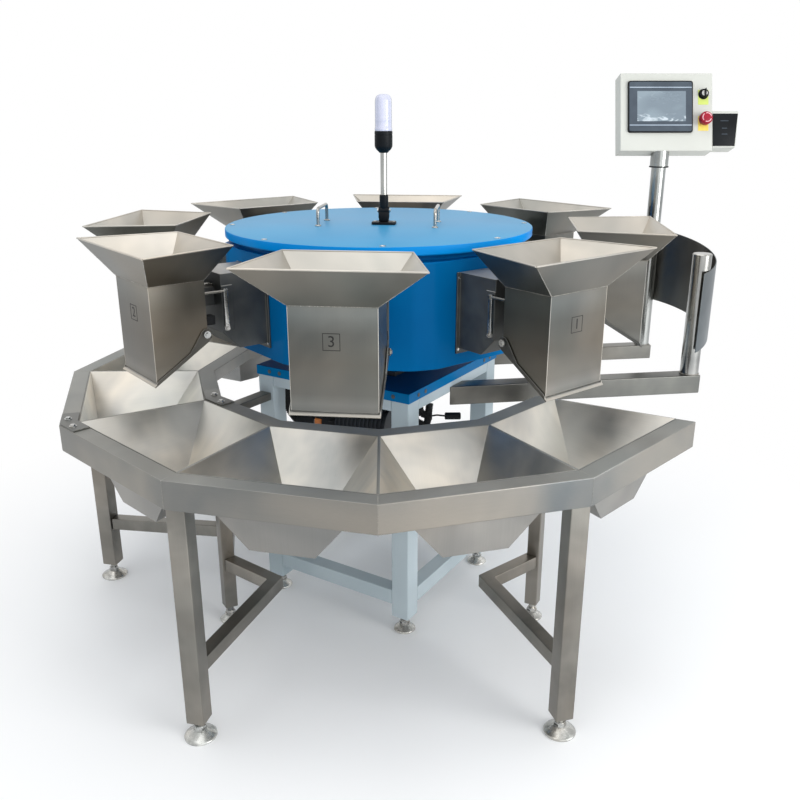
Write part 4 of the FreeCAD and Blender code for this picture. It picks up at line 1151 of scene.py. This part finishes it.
def buttonDress():
    low, high, mid, size = localBox("stop_button", headFrame)
    at = flatAt(mid.x, low.y, mid.z)
    Mould(at).lathe(button["crown"], 40).piece("stop_crown", "stop_button", "red", angle=60)
    arrows = Mould(at)
    for start in button["arrowStarts"]:
        turns = [math.radians(start + button["arrowStep"] * i) for i in range(button["arrowPoints"])]
        arc = [around(button["arrowReach"], turn, button["arrowLift"]) for turn in turns]
        arrows.tube(arc, button["arrowRadius"], 6)
    arrows.piece("stop_arrows", "stop_button", "pink", angle=60)
    low, high, mid, size = localBox("key_switch", headFrame)
    Mould(flatAt(mid.x, low.y + button["keyLift"], mid.z)).lathe(button["keyDisc"], 32).piece(
        "key_disc", "key_switch", "nylon", angle=50)
    front = localBox("control_box", headFrame)[0].y
    Mould(flatAt(mid.x, front, mid.z)).lathe(button["keyCollar"], 36).piece(
        "key_collar", "stand", "black", angle=50)


# loading bay

bay = {
    "cap": [(0, -0.001), (0.0294, -0.001), (0.0294, 0.002), (0.027, 0.0045), (0, 0.005)],
    "weldsAt": ((-0.1806, 0.0295), (0.1874, 0.0245)), "reach": 0.985, "level": 0.7565,
    "weld": (0.0022, 0.004), "steps": 24,
}


def bayDress():
    low, high, mid, size = localBox("guard_post", Matrix())
    Mould(moved(mid.x, mid.y, high.z)).lathe(bay["cap"], 48).piece("post_caps", "stand", "polished")
    rings = []
    for across, radius in bay["weldsAt"]:
        middle = turned(bayTurn) @ Vector((across, -bay["reach"], bay["level"]))
        rings.append([middle + Vector(around(radius, 2 * math.pi * i / bay["steps"])) for i in range(bay["steps"] + 1)])
    weldBeads.bake("post_welds", rings, "stand", "weld", bay["weld"], 60)


screenPanel()
printerFront()
boxBack()
buttonDress()
bayDress()
print("head and bay dressed")


# floor, light and camera

studio = {
    "floor": (0.94, 0.94, 0.94, 1), "floorSize": 80.0, "fade": (0.9, 2.0),
    "sky": (0.94, 0.97, 1.0, 1), "skyLight": 0.9, "paper": (1, 1, 1, 1),
}
lights = {
    "overheadLight": {"place": (-0.5, -0.6, 3.6), "aim": (0, 0, 0.9), "size": 3.0, "power": 30.0},
    "frontLight": {"place": (1.2, -4.3, 1.9), "aim": (0, 0, 0.7), "size": 2.4, "power": 20.0},
    "sideLight": {"place": (3.6, -2.8, 1.7), "aim": (0, 0, 0.7), "size": 2.4, "power": 105.0},
}
view = {
    "place": (0.021, -2.640, 1.559), "pitch": 19.0, "turn": -0.94,
    "focus": 840.3, "frame": 800, "sensor": 36,
}


def floor():
    # matt near the machine, fading to plain white where only the camera sees it
    bpy.ops.mesh.primitive_plane_add(size=studio["floorSize"], location=(0, 0, 0))
    plane = bpy.context.active_object
    plane.name = "floor"
    f = Finish("paleFloor")
    x, y, z = f.split()
    seen = f.add("LightPath", out="Is Camera Ray")
    far = ((x * x + y * y) ** 0.5).within(*studio["fade"])
    paper = f.add("Emission", {"Color": studio["paper"], "Strength": 1.0})
    matt = f.add("BsdfDiffuse", {"Color": studio["floor"]})
    plane.data.materials.append(f.surface(f.add("MixShader", {0: seen * far, 1: matt, 2: paper})))


def sky():
    # white where it is seen or mirrored, and a soft cool light elsewhere
    world = bpy.data.worlds.new("studio")
    bpy.context.scene.world = world
    world.use_nodes = True
    world.node_tree.nodes.clear()
    wiring = Wiring(world.node_tree)
    seen = wiring.add("LightPath", out="Is Camera Ray")
    mirrored = Wire(wiring, seen.socket.node.outputs["Is Glossy Ray"])
    light = wiring.add("Background", {0: studio["sky"], 1: studio["skyLight"]})
    paper = wiring.add("Background", {0: studio["paper"], 1: 1.0})
    mix = wiring.add("MixShader", {0: seen.maths("MAXIMUM", seen, mirrored), 1: light, 2: paper})
    last = world.node_tree.nodes.new("ShaderNodeOutputWorld")
    world.node_tree.links.new(mix.socket, last.inputs["Surface"])


def softLight(name, place, aim, size, power):
    light = bpy.data.lights.new(name, "AREA")
    light.energy = power
    light.size = size
    lantern = linked(name, light)
    lantern.location = place
    lantern.rotation_euler = (Vector(aim) - Vector(place)).to_track_quat("-Z", "Y").to_euler()


def camera():
    data = bpy.data.cameras.new("camera")
    data.sensor_fit = "HORIZONTAL"
    data.sensor_width = view["sensor"]
    data.lens = view["sensor"] * view["focus"] / view["frame"]
    eye = linked("camera", data)
    eye.location = view["place"]
    eye.rotation_euler = (math.radians(90 - view["pitch"]), 0, math.radians(view["turn"]))
    bpy.context.scene.camera = eye


floor()
sky()
for name, settings in lights.items():
    softLight(name, **settings)
camera()
bpy.context.scene.view_settings.view_transform = "Standard"
print("studio ready")
